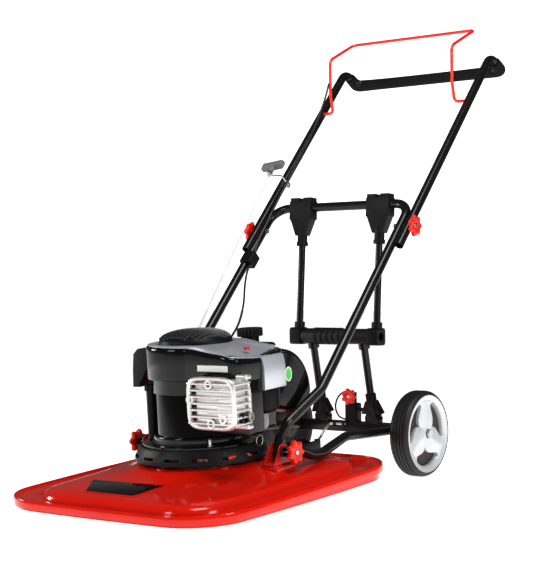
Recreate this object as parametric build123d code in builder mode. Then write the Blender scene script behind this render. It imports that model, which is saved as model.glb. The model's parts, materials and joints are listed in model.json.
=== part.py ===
"""Petrol hover mower with a folding handle and a two-wheel transport carriage.

Millimetres. +Z up, the front of the mower at -Y, the operator behind it at +Y, so the operator's
left is +X. The origin is on the ground, at the middle of the whole machine.
"""

import os
from math import cos, radians, sin, tan

from build123d import *

# ---- driving dimensions -------------------------------------------------------------------------
deck_tilt = 4.0  # nose-down angle of the deck and engine
deck_half_width = 301.0
deck_half_length = 354.0
deck_side_bulge = 10.0
deck_corner_radius = 112.0
deck_wall = 3.0
lip_height = 8.0
lip_width = 6.0
lip_drop = 11.0
skirt_inset = 9.0
skirt_ground_slope = 3.0  # the skirt's lower edge rises to the rear
dome_half_width = 262.0
dome_nose = 200.0  # half width at the front on the operator's right
dome_front = -338.0
dome_rear = 258.0
dome_corner_radius = 90.0
dome_wall_height = 20.0
neck_height = 48.0
neck_radius = 150.0
intake_hole_radius = 112.0
ring_bottom_radius = 144.0
ring_top_radius = 133.0
ring_bottom = 54.0
ring_top = 84.0

pivot_y, pivot_z = -280.0, 110.0  # deck hinge of the handle and swing arms
crank_y, rim_z = -316.0, 40.0  # crankshaft axis where it crosses the deck's rim plane
handle_angle = 47.5
tube_radius = 11.0
tube_wall = 1.5
lower_leg_x = 202.5
upper_leg_x = 225.0
mid_y, mid_z = 180.0, 600.0  # folding joint between the two handles
crossbar_reach = 78.0  # along the leg, from the folding joint to the crossbar
upper_overlap = 64.0  # upper leg below the folding joint
leg_foot_x = 177.0

grip_y, grip_z = 654.0, 1020.0
apex_y, apex_z = 596.0, 1051.0
foam_radius = 15.0
foam_gap = 0.1

bail_y, bail_z = 476.0, 925.0
bail_radius = 4.0
bail_half_width = 186.0

axle_y, axle_z = 261.0, 103.0
wheel_radius = 103.0
tyre_width = 50.0
wheel_inner_x = 178.0
beam_size = 26.0
beam_z = 110.0
beam_half = 160.0
arm_radius = 11.0
arm_foot_x = 203.2

post_x = 75.0
post_foot_y, post_foot_z = 257.0, 134.0
lift_y, lift_z = 210.5, 336.0  # lift grip
lift_half = 124.0
strut_x = 114.5
strut_radius = 8.5
post_radius = 9.0

running = 0.05  # radial clearance of a shaft in its hole
gap = 0.3

os.makedirs("parts", exist_ok=True)


def save(piece, name):
    """Label a finished piece and write it to its own STEP file."""
    piece.part.label = name
    export_step(piece.part, f"parts/{name}.step")


# ---- planes -------------------------------------------------------------------------------------
tilt = radians(deck_tilt)
deck_up = Vector(0, -sin(tilt), cos(tilt))
deck_back = Vector(0, cos(tilt), sin(tilt))
deck_origin = Vector(0, crank_y, rim_z)
crank_axis = Axis(deck_origin, deck_up)


def deck_point(x, y, h):
    """A point x across, y rearward and h up in the tilted deck's own directions."""
    return deck_origin + Vector(x, 0, 0) + deck_back * y + deck_up * h


def deck_plane(h, x=0.0, y=0.0):
    """A plane parallel to the deck's rim."""
    return Plane(origin=deck_point(x, y, h), x_dir=(1, 0, 0), z_dir=deck_up)


def front_plane(y):
    """An upright plane of the deck's frame that faces the front, its own Y along deck_up."""
    return Plane(origin=deck_point(0, y, 0), x_dir=(1, 0, 0), z_dir=deck_back * -1)


def side_plane(x):
    """A plane across the machine at x, its own X rearward and its own Y up, facing +X."""
    return Plane(origin=(x, 0, 0), x_dir=(0, 1, 0), z_dir=(1, 0, 0))


def tilted_side_plane(x):
    """The same, turned with the deck and centred on the crankshaft."""
    return Plane(origin=deck_point(x, 0, 0), x_dir=deck_back, z_dir=(1, 0, 0))


leg_dir = Vector(0, cos(radians(handle_angle)), sin(radians(handle_angle)))
leg_up = Vector(0, -sin(radians(handle_angle)), cos(radians(handle_angle)))
mid_point = Vector(0, mid_y, mid_z)


def leg_point(x, along, above=0.0):
    """A point on a handle leg's line, measured from the folding joint."""
    return Vector(x, 0, 0) + mid_point + leg_dir * along + leg_up * above


# ---- shared makers ------------------------------------------------------------------------------
def tube(points, radii, outer, wall=0.0):
    """A round tube or rod swept along straight runs joined by arcs."""
    with BuildPart() as piece:
        with BuildLine() as route:
            if len(points) > 2:
                FilletPolyline(*points, radius=radii)
            else:
                Line(*points)
        with BuildSketch(Plane(origin=route.line @ 0, z_dir=route.line % 0)):
            Circle(outer)
            if wall:
                Circle(outer - wall, mode=Mode.SUBTRACT)
        sweep()
    return piece


def rod(centre, direction, start, end, radius, bore=0.0):
    """A straight round bar along a direction, from start to end measured from centre."""
    along = Vector(*direction).normalized()
    with BuildPart() as piece:
        with BuildSketch(Plane(origin=Vector(*centre) + along * start, z_dir=along)):
            Circle(radius)
            if bore:
                Circle(bore, mode=Mode.SUBTRACT)
        extrude(amount=end - start)
    return piece


def cross_rod(y, z, start, end, radius, bore=0.0):
    """A rod along X between two X positions."""
    return rod((0, y, z), (1, 0, 0), start, end, radius, bore)


def join(pieces):
    """Several finished solids in one node."""
    with BuildPart() as group:
        for piece in pieces:
            add(piece.part)
    return group


def cut(piece, tools):
    """A piece less the material that other pieces need."""
    with BuildPart() as trimmed:
        add(piece.part)
        for tool in tools:
            add(tool.part, mode=Mode.SUBTRACT)
    return trimmed


def deck_outline(inset):
    """The deck's plan: four gently bulged sides with large round corners."""
    a, b = deck_half_width - inset, deck_half_length - inset
    ca, cb = a - deck_side_bulge, b - deck_side_bulge
    with BuildSketch() as outline:
        with BuildLine():
            ThreePointArc((-ca, -cb), (0, -b), (ca, -cb))
            ThreePointArc((ca, -cb), (a, 0), (ca, cb))
            ThreePointArc((ca, cb), (0, b), (-ca, cb))
            ThreePointArc((-ca, cb), (-a, 0), (-ca, -cb))
        make_face()
        fillet(outline.vertices(), deck_corner_radius - inset)
    return outline.sketch


def dome_outline(inset):
    """Plan of the dome: a rounded block whose front right corner is cut back, less an inset."""
    with BuildSketch() as outline:
        with BuildLine():
            Polyline(
                (-dome_nose, dome_front),
                (dome_half_width, dome_front),
                (dome_half_width, dome_rear),
                (-dome_half_width, dome_rear),
                (-dome_nose, dome_front),
            )
        make_face()
        fillet(outline.vertices(), dome_corner_radius)
        if inset:
            offset(amount=-inset)
    return outline.sketch


# ---- deck ---------------------------------------------------------------------------------------
shoulder_rise = 12.0
shoulder_taper = 84.0
standoff_count = 6
standoff_circle = 124.0
standoff_start = 30.0
cone_foot_radius = 232.0
cone_foot_height = 25.0
bracket_pad_height = 42.0
bracket_deck_y = 38.0

with BuildPart() as deck_shell:
    with BuildSketch(deck_plane(0)):
        add(deck_outline(0))
    extrude(amount=lip_height)
    with BuildSketch(deck_plane(deck_wall)):
        add(deck_outline(lip_width))
    extrude(amount=lip_height, mode=Mode.SUBTRACT)
    with BuildSketch(deck_plane(0)):
        add(deck_outline(0))
        add(deck_outline(deck_wall), mode=Mode.SUBTRACT)
    extrude(amount=-lip_drop)
    with BuildSketch(deck_plane(0)):
        add(deck_outline(skirt_inset))
        add(deck_outline(skirt_inset + deck_wall), mode=Mode.SUBTRACT)
    extrude(amount=-60)
    with BuildSketch(deck_plane(0)):
        add(dome_outline(0))
    extrude(amount=dome_wall_height)
    with BuildSketch(deck_plane(dome_wall_height)):
        add(dome_outline(0))
    extrude(amount=shoulder_rise, taper=shoulder_taper)
    with BuildSketch(front_plane(0)):
        with BuildLine():
            Polyline((0, 10), (cone_foot_radius, 10), (cone_foot_radius, cone_foot_height))
            Spline(
                (cone_foot_radius, cone_foot_height),
                (neck_radius + 18, neck_height - 9),
                (neck_radius - 14, neck_height),
                tangents=((-1, 0.18), (-1, 0.9)),
            )
            Polyline((neck_radius - 14, neck_height), (0, neck_height), (0, 10))
        make_face()
    revolve(axis=crank_axis)
    for x in (-leg_foot_x, leg_foot_x):
        with BuildSketch(deck_plane(15, x, bracket_deck_y)):
            RectangleRounded(46, 66, 6)
        extrude(amount=bracket_pad_height - 15)
    # the underside is hollow: the dome's wall, shoulder and cone again, one wall further in
    with BuildSketch(deck_plane(-1)):
        add(dome_outline(deck_wall))
    extrude(amount=dome_wall_height - deck_wall + 2, mode=Mode.SUBTRACT)
    with BuildSketch(front_plane(0)):
        with BuildLine():
            Polyline((0, -1), (205, -1), (205, cone_foot_height - deck_wall))
            Spline(
                (205, cone_foot_height - deck_wall),
                (neck_radius + 10, neck_height - 12),
                (neck_radius - 20, neck_height - deck_wall),
                tangents=((-1, 0.18), (-1, 0.7)),
            )
            Polyline((neck_radius - 20, neck_height - deck_wall), (0, neck_height - deck_wall), (0, -1))
        make_face()
    revolve(axis=crank_axis, mode=Mode.SUBTRACT)
    with BuildSketch(deck_plane(neck_height)):
        Circle(intake_hole_radius)
    extrude(amount=-20, mode=Mode.SUBTRACT)
    # the skirt is trimmed so that its front edge rests on the ground and its rear edge is clear
    split(
        bisect_by=Plane(
            origin=(0, crank_y - (deck_half_length - skirt_inset) * cos(tilt), 0),
            x_dir=(1, 0, 0),
            z_dir=(0, -sin(radians(skirt_ground_slope)), cos(radians(skirt_ground_slope))),
        ),
        keep=Keep.TOP,
    )
    with BuildSketch(deck_plane(neck_height)):
        with PolarLocations(standoff_circle, standoff_count, start_angle=standoff_start):
            Circle(9)
    extrude(amount=ring_bottom - neck_height + 4)
save(deck_shell, "deck_shell")

slot_count = 14
with BuildPart() as intake_ring:
    with BuildSketch(front_plane(0)):
        Polygon(
            (ring_bottom_radius, ring_bottom),
            (ring_bottom_radius, ring_bottom + 9),
            (ring_top_radius, ring_top),
            (92, ring_top),
            (92, ring_top - 3),
            (ring_top_radius - 3, ring_top - 3),
            (ring_bottom_radius - 3.5, ring_bottom + 9),
            (ring_bottom_radius - 3.5, ring_bottom),
            align=None,
        )
    revolve(axis=crank_axis)
    with BuildSketch(deck_plane(ring_bottom)):
        with PolarLocations(standoff_circle, standoff_count, start_angle=standoff_start):
            Circle(13)
    extrude(amount=ring_top - ring_bottom - 1)
    with BuildSketch(deck_plane(ring_bottom - 1)):
        with PolarLocations(standoff_circle, standoff_count, start_angle=standoff_start):
            Circle(9)
    extrude(amount=5, mode=Mode.SUBTRACT)
    with BuildSketch(deck_plane(ring_bottom + 10)):
        with PolarLocations(ring_bottom_radius, slot_count):
            Rectangle(40, 34)
        Circle(ring_top_radius - 4, mode=Mode.SUBTRACT)
    extrude(amount=6, mode=Mode.SUBTRACT)
save(intake_ring, "intake_ring")


# ---- pivot brackets, bolts and star knobs -------------------------------------------------------
bracket_plate = 3.0
inner_plate_x = leg_foot_x - 14.5
outer_plate_x = leg_foot_x + 11.5
pad_plane_z = bracket_pad_height
bolt_radius = 5.0
knob_radius = 27.0
knob_width = 14.0


def pivot_bracket(side):
    """A folded U bracket: two rounded plates on a foot plate, drilled for the pivot bolt."""
    up, back = pivot_z, pivot_y
    foot = deck_point(0, bracket_deck_y, pad_plane_z)
    with BuildPart() as piece:
        for x in (inner_plate_x, outer_plate_x):
            with BuildSketch(side_plane(x if side > 0 else -x - bracket_plate)):
                with BuildLine():
                    low_front = deck_point(0, bracket_deck_y - 33, pad_plane_z)
                    low_back = deck_point(0, bracket_deck_y + 30, pad_plane_z)
                    Line((low_front.Y, low_front.Z), (low_back.Y, low_back.Z))
                    Line((low_back.Y, low_back.Z), (back + 18, up))
                    ThreePointArc((back + 18, up), (back, up + 18), (back - 18, up))
                    Line((back - 18, up), (low_front.Y, low_front.Z))
                make_face()
                with Locations((back, up)):
                    Circle(bolt_radius + running, mode=Mode.SUBTRACT)
            extrude(amount=bracket_plate)
        middle = side * (inner_plate_x + outer_plate_x + bracket_plate) / 2
        with BuildSketch(Plane(origin=foot + Vector(middle, 0, 0), x_dir=(1, 0, 0), z_dir=deck_up)):
            with Locations((0, -1.5)):
                Rectangle(outer_plate_x + bracket_plate - inner_plate_x, 63)
        extrude(amount=bracket_plate)
    return piece


def star_knob(x, y, z, side, bore, thickness=knob_width, radius=knob_radius):
    """A seven-lobed hand knob turned about X, its inner face at x."""
    lobes = 7
    face = Plane(origin=(x, y, z), x_dir=(0, 1, 0), z_dir=(side, 0, 0))
    with BuildPart() as piece:
        with BuildSketch(face):
            Circle(radius * 0.72)
            with PolarLocations(radius * 0.74, lobes):
                Circle(radius * 0.26)
        extrude(amount=thickness)
        with BuildSketch(face):
            Circle(bore)
        extrude(amount=thickness, mode=Mode.SUBTRACT)
        chamfer(piece.faces().sort_by(Axis.X)[-1 if side > 0 else 0].edges(), 1.2)
    return piece


def hex_bolt(y, z, head_x, tip_x, radius, side):
    """A plain bolt along X: a hexagon head outside head_x and a shank to tip_x."""
    inward = 1 if tip_x > head_x else -1
    with BuildPart() as piece:
        with BuildSketch(Plane(origin=(side * head_x, y, z), x_dir=(0, 1, 0), z_dir=(side * inward, 0, 0))):
            Circle(radius)
        extrude(amount=abs(tip_x - head_x))
        with BuildSketch(Plane(origin=(side * head_x, y, z), x_dir=(0, 1, 0), z_dir=(-side * inward, 0, 0))):
            RegularPolygon(radius * 1.7, 6)
        extrude(amount=radius)
    return piece


knob_face_x = arm_foot_x + arm_radius + 0.5
mid_knob_x = upper_leg_x + tube_radius + gap
bolts = []
for side_name, side in (("left", 1), ("right", -1)):
    knob = star_knob(side * knob_face_x, pivot_y, pivot_z, side, bolt_radius + running)
    save(knob, f"deck_knob_{side_name}")
    knob = star_knob(side * mid_knob_x, mid_y, mid_z, side, 4 + running, 13, 26)
    save(knob, f"mid_knob_{side_name}")
    bolts.append(hex_bolt(pivot_y, pivot_z, inner_plate_x, knob_face_x + knob_width - 1, bolt_radius, side))
    bolts.append(hex_bolt(mid_y, mid_z, lower_leg_x - tube_radius, mid_knob_x + 12, 4, side))
save(join(bolts), "pivot_bolts")
save(join([pivot_bracket(1), pivot_bracket(-1)]), "pivot_brackets")

# ---- deck catch box for the lock lever ----------------------------------------------------------
catch_half = 25.0
catch_front, catch_back = 358.0, 440.0
catch_bottom, catch_top = -4.0, 20.0
catch_wall = 2.5
catch_x = -16.0
notch_x = -5.0  # from the tray's middle to where the lever crosses its rear wall
with BuildPart() as catch_box:
    with BuildSketch(deck_plane(deck_wall, catch_x, 318)):
        Rectangle(2 * catch_half, 50)
    extrude(amount=lip_height - deck_wall + 1)
    with BuildSketch(deck_plane(lip_height + 1, catch_x, 327)):
        Rectangle(2 * catch_half, 68)
    extrude(amount=3)
    with BuildSketch(deck_plane(catch_bottom, catch_x, (catch_front + catch_back) / 2)):
        Rectangle(2 * catch_half, catch_back - catch_front)
    extrude(amount=catch_top - catch_bottom)
    with BuildSketch(deck_plane(catch_bottom + 3, catch_x, (catch_front + catch_back) / 2)):
        Rectangle(2 * (catch_half - catch_wall), catch_back - catch_front - 2 * catch_wall)
    extrude(amount=catch_top - catch_bottom, mode=Mode.SUBTRACT)
    with BuildSketch(deck_plane(catch_bottom + 5, catch_x + notch_x, catch_back)):
        Rectangle(24, 12)
    extrude(amount=catch_top - catch_bottom, mode=Mode.SUBTRACT)
save(catch_box, "catch_box")


# ---- engine -------------------------------------------------------------------------------------
shaft_radius = 12.5
plate_top = ring_top + 7.0
case_top = 205.0
sleeve_x = 93.0
head_x = 134.0
bore_h = 158.0
housing_bottom, housing_top = 229.0, 290.0
housing_left_radius = 108.0
housing_x, housing_front, housing_back = 178.0, -97.0, 96.0
starter_radius = 80.0
starter_top = 331.0
cable_end_x = -86.0

with BuildPart() as crankcase:
    with BuildSketch(deck_plane(ring_top)):
        Circle(126)
        with PolarLocations(standoff_circle, standoff_count, start_angle=standoff_start):
            Circle(3, mode=Mode.SUBTRACT)
    extrude(amount=plate_top - ring_top)
    with BuildSketch(deck_plane(plate_top)):
        Circle(92)
        with Locations((40, 0)):
            RectangleRounded(100, 100, 18)
    extrude(amount=case_top - plate_top)
    with BuildSketch(deck_plane(plate_top + 8)):
        Circle(66)
    extrude(amount=case_top - plate_top - 16, mode=Mode.SUBTRACT)
    with BuildSketch(deck_plane(ring_top)):
        Circle(20)
    extrude(amount=case_top - ring_top, mode=Mode.SUBTRACT)
    with BuildSketch(tilted_side_plane(40)):
        with Locations((0, bore_h)):
            Circle(31)
    extrude(amount=60, mode=Mode.SUBTRACT)
save(crankcase, "crankcase")

bearing_rings = []
for low, high in ((plate_top, plate_top + 8), (case_top - 8, case_top)):
    bearing_rings.append(
        rod(deck_point(0, 0, 0), deck_up, low, high, 20, shaft_radius + running)
    )
crank_bearings = join(bearing_rings)
save(crank_bearings, "crank_bearings")

fin_count = 5
with BuildPart() as cylinder:
    with BuildSketch(tilted_side_plane(sleeve_x)):
        with Locations((0, bore_h)):
            Circle(38)
            Circle(31, mode=Mode.SUBTRACT)
    extrude(amount=head_x - sleeve_x)
    for index in range(fin_count):
        with BuildSketch(tilted_side_plane(sleeve_x + 3 + index * 8)):
            with Locations((0, bore_h)):
                RectangleRounded(104, 92, 12)
                Circle(37, mode=Mode.SUBTRACT)
        extrude(amount=2.4)
    with BuildSketch(tilted_side_plane(head_x)):
        with Locations((0, bore_h)):
            RectangleRounded(100, 88, 14)
    extrude(amount=16)
    with BuildSketch(tilted_side_plane(head_x + 16)):
        with Locations((-24, bore_h + 4)):
            Circle(7)
    extrude(amount=-16, mode=Mode.SUBTRACT)
save(cylinder, "cylinder")

piston = rod(deck_point(0, 0, bore_h), (1, 0, 0), 90, 130, 30.9)
save(piston, "piston")

spark_y, spark_h = -24.0, bore_h + 4.0
spark_plug = join([
    rod(deck_point(0, spark_y, spark_h), (1, 0, 0), head_x + 2, head_x + 16, 7),
    rod(deck_point(0, spark_y, spark_h), (1, 0, 0), head_x + 16, head_x + 34, 9.5),
])
save(spark_plug, "spark_plug")


def housing_outline(inset):
    """Plan of the blower housing: a round end over the flywheel and a square end over the head."""
    with BuildSketch() as outline:
        Circle(housing_left_radius - inset)
        with Locations(((housing_x - 40) / 2, (housing_front + housing_back) / 2)):
            RectangleRounded(housing_x + 40 - 2 * inset, housing_back - housing_front - 2 * inset, 26 - inset)
    return outline.sketch


guard_x0, guard_x1 = 70.0, 200.0
guard_y0, guard_y1 = -127.0, -64.0
guard_h0, guard_h1 = 133.0, 246.0
guard_corner = 16.0

outlet_y, outlet_h = -78.0, bore_h + 2.0
muffler_half = 52.0
muffler_mid = (guard_x0 + guard_x1) / 2
with BuildPart() as muffler:
    with BuildSketch(front_plane(-54)):
        with Locations((muffler_mid, (guard_h0 + guard_h1) / 2 - 4)):
            RectangleRounded(2 * muffler_half, 76, 18)
    extrude(amount=58)
    fillet(muffler.faces().sort_by(Axis.Y)[0].edges(), 7)
    with BuildSketch(Plane(origin=deck_point(muffler_mid, outlet_y, outlet_h), z_dir=(1, 0, 0))):
        Circle(9)
    extrude(amount=guard_x1 + 3 - muffler_mid)
    with BuildSketch(Plane(origin=deck_point(guard_x1 + 3, outlet_y, outlet_h), z_dir=(-1, 0, 0))):
        Circle(7)
    extrude(amount=30, mode=Mode.SUBTRACT)
    with BuildSketch(deck_plane(plate_top + 4)):
        Circle(94)
    extrude(amount=case_top - plate_top, mode=Mode.SUBTRACT)
save(muffler, "muffler")

with BuildPart() as muffler_guard:
    with BuildSketch(front_plane(guard_y1)):
        with Locations(((guard_x0 + guard_x1) / 2, (guard_h0 + guard_h1) / 2)):
            RectangleRounded(guard_x1 - guard_x0, guard_h1 - guard_h0, guard_corner)
    extrude(amount=guard_y1 - guard_y0)
    fillet(muffler_guard.faces().sort_by(Axis.Y)[0].edges(), 8)
    with BuildSketch(front_plane(guard_y1)):
        with Locations(((guard_x0 + guard_x1) / 2, (guard_h0 + guard_h1) / 2)):
            RectangleRounded(guard_x1 - guard_x0 - 5, guard_h1 - guard_h0 - 5, guard_corner - 3)
    extrude(amount=guard_y1 - guard_y0 - 3, mode=Mode.SUBTRACT)
    with BuildSketch(front_plane(guard_y0 + 10)):
        with Locations(*[(guard_x0 + 14, guard_h0 + 22 + index * 13.5) for index in range(6)]):
            SlotOverall(16, 6)
    extrude(amount=12, mode=Mode.SUBTRACT)
    with BuildSketch(tilted_side_plane(guard_x1 - 6)):
        with Locations((-80, guard_h1 - 22), (-80, guard_h1 - 44)):
            RectangleRounded(26, 14, 3)
    extrude(amount=8, mode=Mode.SUBTRACT)
    with BuildSketch(Plane(origin=deck_point(guard_x1 - 6, outlet_y, outlet_h), z_dir=(1, 0, 0))):
        Circle(10)
    extrude(amount=8, mode=Mode.SUBTRACT)
    with BuildSketch(deck_plane(housing_bottom - 1)):
        add(housing_outline(-1))
    extrude(amount=30, mode=Mode.SUBTRACT)
save(muffler_guard, "muffler_guard")


with BuildPart() as blower_housing:
    with BuildSketch(deck_plane(housing_bottom)):
        add(housing_outline(0))
    extrude(amount=housing_top - housing_bottom)
    fillet(blower_housing.faces().sort_by(Axis.Z)[-1].edges(), 6)
    # the cranked air snout on the side away from the cylinder
    with BuildSketch(front_plane(22)):
        with BuildLine():
            Polyline(
                (-100, 240), (-100, housing_top), (-128, housing_top), (-150, 284), (-155, 274), (-160, 202),
                (-140, 202), (-138, 214), (-128, 214), (-118, 240), (-100, 240),
            )
        make_face()
    extrude(amount=56)
    with BuildSketch(deck_plane(housing_bottom - 1)):
        add(housing_outline(2.5))
    extrude(amount=housing_top - housing_bottom - 2, mode=Mode.SUBTRACT)
    with BuildSketch(deck_plane(housing_top)):
        Circle(starter_radius - 8)
    extrude(amount=-6, mode=Mode.SUBTRACT)
    # four feet down to the engine's base plate
    for x, y in ((-74, -62), (-74, 62), (60, -78), (60, 78)):
        with BuildSketch(deck_plane(plate_top, x, y)):
            Circle(6)
        extrude(amount=housing_top - 4 - plate_top)
    # the bail cable's bracket
    with BuildSketch(deck_plane(housing_bottom, cable_end_x, 104)):
        Rectangle(26, 30)
    extrude(amount=3)
    with BuildSketch(deck_plane(housing_bottom, cable_end_x, 117.5)):
        Rectangle(26, 3)
    extrude(amount=20)
    add(crankcase.part, mode=Mode.SUBTRACT)
save(blower_housing, "blower_housing")

with BuildPart() as top_cowl:
    with BuildSketch(deck_plane(housing_top)):
        add(housing_outline(9))
    extrude(amount=9)
    with BuildSketch(deck_plane(housing_top)):
        Circle(starter_radius + 2)
    extrude(amount=12, mode=Mode.SUBTRACT)
    with BuildSketch(tilted_side_plane(housing_x)):
        with Locations((36, (203 + housing_top + 6) / 2)):
            Rectangle(74, housing_top + 6 - 203)
    extrude(amount=6)
    with BuildSketch(deck_plane(housing_top + 2)):
        with Locations((housing_x - 2, 36)):
            Rectangle(16, 74)
    extrude(amount=4)
    add(blower_housing.part, mode=Mode.SUBTRACT)
save(top_cowl, "top_cowl")

with BuildPart() as starter_cover:
    with BuildSketch(front_plane(0)):
        with BuildLine():
            Line((starter_radius, housing_top), (starter_radius, housing_top + 10))
            Spline(
                (starter_radius, housing_top + 10),
                (starter_radius - 14, starter_top - 9),
                (42, starter_top - 1),
                (0, starter_top),
                tangents=((-0.2, 1), (-1, 0)),
            )
            Line((0, starter_top), (0, starter_top - 3))
            Spline(
                (0, starter_top - 3),
                (41, starter_top - 4),
                (starter_radius - 17, starter_top - 12),
                (starter_radius - 3, housing_top + 8),
                tangents=((1, 0), (0.2, -1)),
            )
            Line((starter_radius - 3, housing_top + 8), (starter_radius - 3, housing_top))
            Line((starter_radius - 3, housing_top), (starter_radius, housing_top))
        make_face()
    revolve(axis=crank_axis)
save(starter_cover, "starter_cover")

tank_x, tank_y = 20.0, 136.0
cap_x, cap_y = 39.0, 143.0
tank_top = 286.0
cap_bottom = 300.0
with BuildPart() as fuel_tank:
    with BuildSketch(deck_plane(205, tank_x, tank_y)):
        RectangleRounded(150, 76, 18)
    extrude(amount=tank_top - 205)
    fillet(fuel_tank.edges().group_by(Axis.Z)[-1], 8)
    with BuildSketch(deck_plane(tank_top - 3, cap_x, cap_y)):
        Circle(20)
    extrude(amount=cap_bottom + 6 - tank_top + 3)
    with BuildSketch(deck_plane(209, tank_x, tank_y)):
        RectangleRounded(142, 68, 14)
    extrude(amount=tank_top - 214, mode=Mode.SUBTRACT)
    with BuildSketch(deck_plane(tank_top - 10, cap_x, cap_y)):
        Circle(16)
    extrude(amount=30, mode=Mode.SUBTRACT)
    add(blower_housing.part, mode=Mode.SUBTRACT)
    add(top_cowl.part, mode=Mode.SUBTRACT)
save(fuel_tank, "fuel_tank")

with BuildPart() as fuel_cap:
    with BuildSketch(deck_plane(cap_bottom, cap_x, cap_y)):
        Circle(29)
    extrude(amount=19)
    fillet(fuel_cap.edges().group_by(Axis.Z)[-1], 4)
    with BuildSketch(deck_plane(cap_bottom, cap_x, cap_y)):
        Circle(20 + gap)
    extrude(amount=7, mode=Mode.SUBTRACT)
save(fuel_cap, "fuel_cap")

with BuildPart() as carburettor:
    with BuildSketch(tilted_side_plane(100)):
        with Locations((84, 176)):
            RectangleRounded(40, 44, 8)
    extrude(amount=32)
    with BuildSketch(deck_plane(128, 116, 84)):
        Circle(18)
    extrude(amount=28)
save(carburettor, "carburettor")

cleaner_x0, cleaner_x1 = 118.0, 177.0
cleaner_y0, cleaner_y1 = 56.0, 176.0
cleaner_h0, cleaner_h1 = 140.0, 280.0
with BuildPart() as air_cleaner_cover:
    with BuildSketch(tilted_side_plane(cleaner_x0)):
        with BuildLine():
            Polyline((cleaner_y0, cleaner_h0 + 20), (cleaner_y0, cleaner_h1 - 6), (cleaner_y0 + 10, cleaner_h1))
            Line((cleaner_y0 + 10, cleaner_h1), (cleaner_y0 + 34, cleaner_h1))
            ThreePointArc((cleaner_y0 + 34, cleaner_h1), (cleaner_y1 - 20, cleaner_h1 - 40), (cleaner_y1, cleaner_h0 + 40))
            Polyline(
                (cleaner_y1, cleaner_h0 + 40),
                (cleaner_y1 - 16, cleaner_h0),
                (cleaner_y0 + 50, cleaner_h0),
                (cleaner_y0, cleaner_h0 + 20),
            )
        make_face()
    extrude(amount=cleaner_x1 - cleaner_x0)
    fillet(air_cleaner_cover.faces().sort_by(Axis.X)[-1].edges(), 9)
    offset(amount=-2.5, openings=air_cleaner_cover.faces().sort_by(Axis.X)[0])
    with BuildSketch(deck_plane(housing_bottom - 2)):
        add(housing_outline(-1))
    extrude(amount=80, mode=Mode.SUBTRACT)
    with BuildSketch(tilted_side_plane(housing_x - 2)):
        with Locations((36, 245)):
            Rectangle(76, 92)
    extrude(amount=10, mode=Mode.SUBTRACT)
    add(carburettor.part, mode=Mode.SUBTRACT)
save(air_cleaner_cover, "air_cleaner_cover")

with BuildPart() as filter_element:
    with BuildSketch(tilted_side_plane(136)):
        with Locations((122, 188)):
            RectangleRounded(70, 56, 8)
    extrude(amount=34)
save(filter_element, "filter_element")

with BuildPart() as carburettor_cover:
    with BuildSketch(tilted_side_plane(head_x + 16.5)):
        with BuildLine():
            Polyline((10, 202), (52, 202), (52, 140), (30, 140), (10, 168), (10, 202))
        make_face()
        fillet(carburettor_cover.vertices(), 5)
    extrude(amount=cleaner_x1 - head_x - 16.5)
    fillet(carburettor_cover.faces().sort_by(Axis.X)[-1].edges(), 3)
save(carburettor_cover, "carburettor_cover")

with BuildPart() as oil_filler:
    with BuildSketch(deck_plane(plate_top, -104, -36)):
        Circle(11)
    extrude(amount=106)
    with BuildSketch(deck_plane(plate_top + 106, -104, -36)):
        Circle(12)
        with PolarLocations(12, 8):
            Circle(2.4)
    extrude(amount=13)
    add(crankcase.part, mode=Mode.SUBTRACT)
save(oil_filler, "oil_filler")

# ---- everything that turns with the crankshaft --------------------------------------------------
blade_radius = 254.0
blade_h = -14.0
crankshaft = rod(deck_point(0, 0, 0), deck_up, blade_h + 6, 262, shaft_radius)
save(crankshaft, "crankshaft")

with BuildPart() as flywheel:
    with BuildSketch(deck_plane(236)):
        Circle(84)
        Circle(shaft_radius, mode=Mode.SUBTRACT)
    extrude(amount=16)
    with BuildSketch(deck_plane(252)):
        with PolarLocations(64, 16):
            Rectangle(30, 3)
    extrude(amount=22)
    with BuildSketch(deck_plane(262)):
        Circle(44)
    extrude(amount=36)
save(flywheel, "flywheel")

with BuildPart() as hover_impeller:
    with BuildSketch(deck_plane(4)):
        Circle(140)
        Circle(shaft_radius, mode=Mode.SUBTRACT)
    extrude(amount=3)
    with BuildSketch(deck_plane(blade_h + 4)):
        Circle(24)
        Circle(shaft_radius, mode=Mode.SUBTRACT)
    extrude(amount=29 - blade_h - 4)
    with BuildSketch(deck_plane(7)):
        with PolarLocations(96, 14):
            Rectangle(80, 3, rotation=24)
    extrude(amount=28)
save(hover_impeller, "hover_impeller")

with BuildPart() as cutter_blade:
    with BuildSketch(deck_plane(blade_h)):
        Rectangle(2 * blade_radius, 52)
        Circle(6, mode=Mode.SUBTRACT)
    extrude(amount=4)
    with BuildSketch(deck_plane(blade_h + 3)):
        with Locations((blade_radius - 44, 20), (44 - blade_radius, -20)):
            Rectangle(84, 8)
    extrude(amount=10)
    chamfer(cutter_blade.edges().filter_by(crank_axis).group_by(SortBy.LENGTH)[0], 3)
save(cutter_blade, "cutter_blade")

blade_bolt = join([
    rod(deck_point(0, 0, 0), deck_up, blade_h - 8, blade_h, 14),
    rod(deck_point(0, 0, 0), deck_up, blade_h, blade_h + 6, 6),
])
save(blade_bolt, "blade_bolt")


# ---- lower handle -------------------------------------------------------------------------------
crossbar_y = leg_point(0, crossbar_reach).Y
crossbar_z = leg_point(0, crossbar_reach).Z
knee = Vector(lower_leg_x, -155, leg_point(0, (-155 - mid_y) / leg_dir.Y).Z)
shin = Vector(leg_foot_x + 9, -260, 168)
ankle = Vector(leg_foot_x, pivot_y + 5, pivot_z + 25)
foot_end = Vector(leg_foot_x, pivot_y - 1, pivot_z - 13)


def mirrored(point):
    """The same point on the other side of the machine."""
    return Vector(-point.X, point.Y, point.Z)


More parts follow.
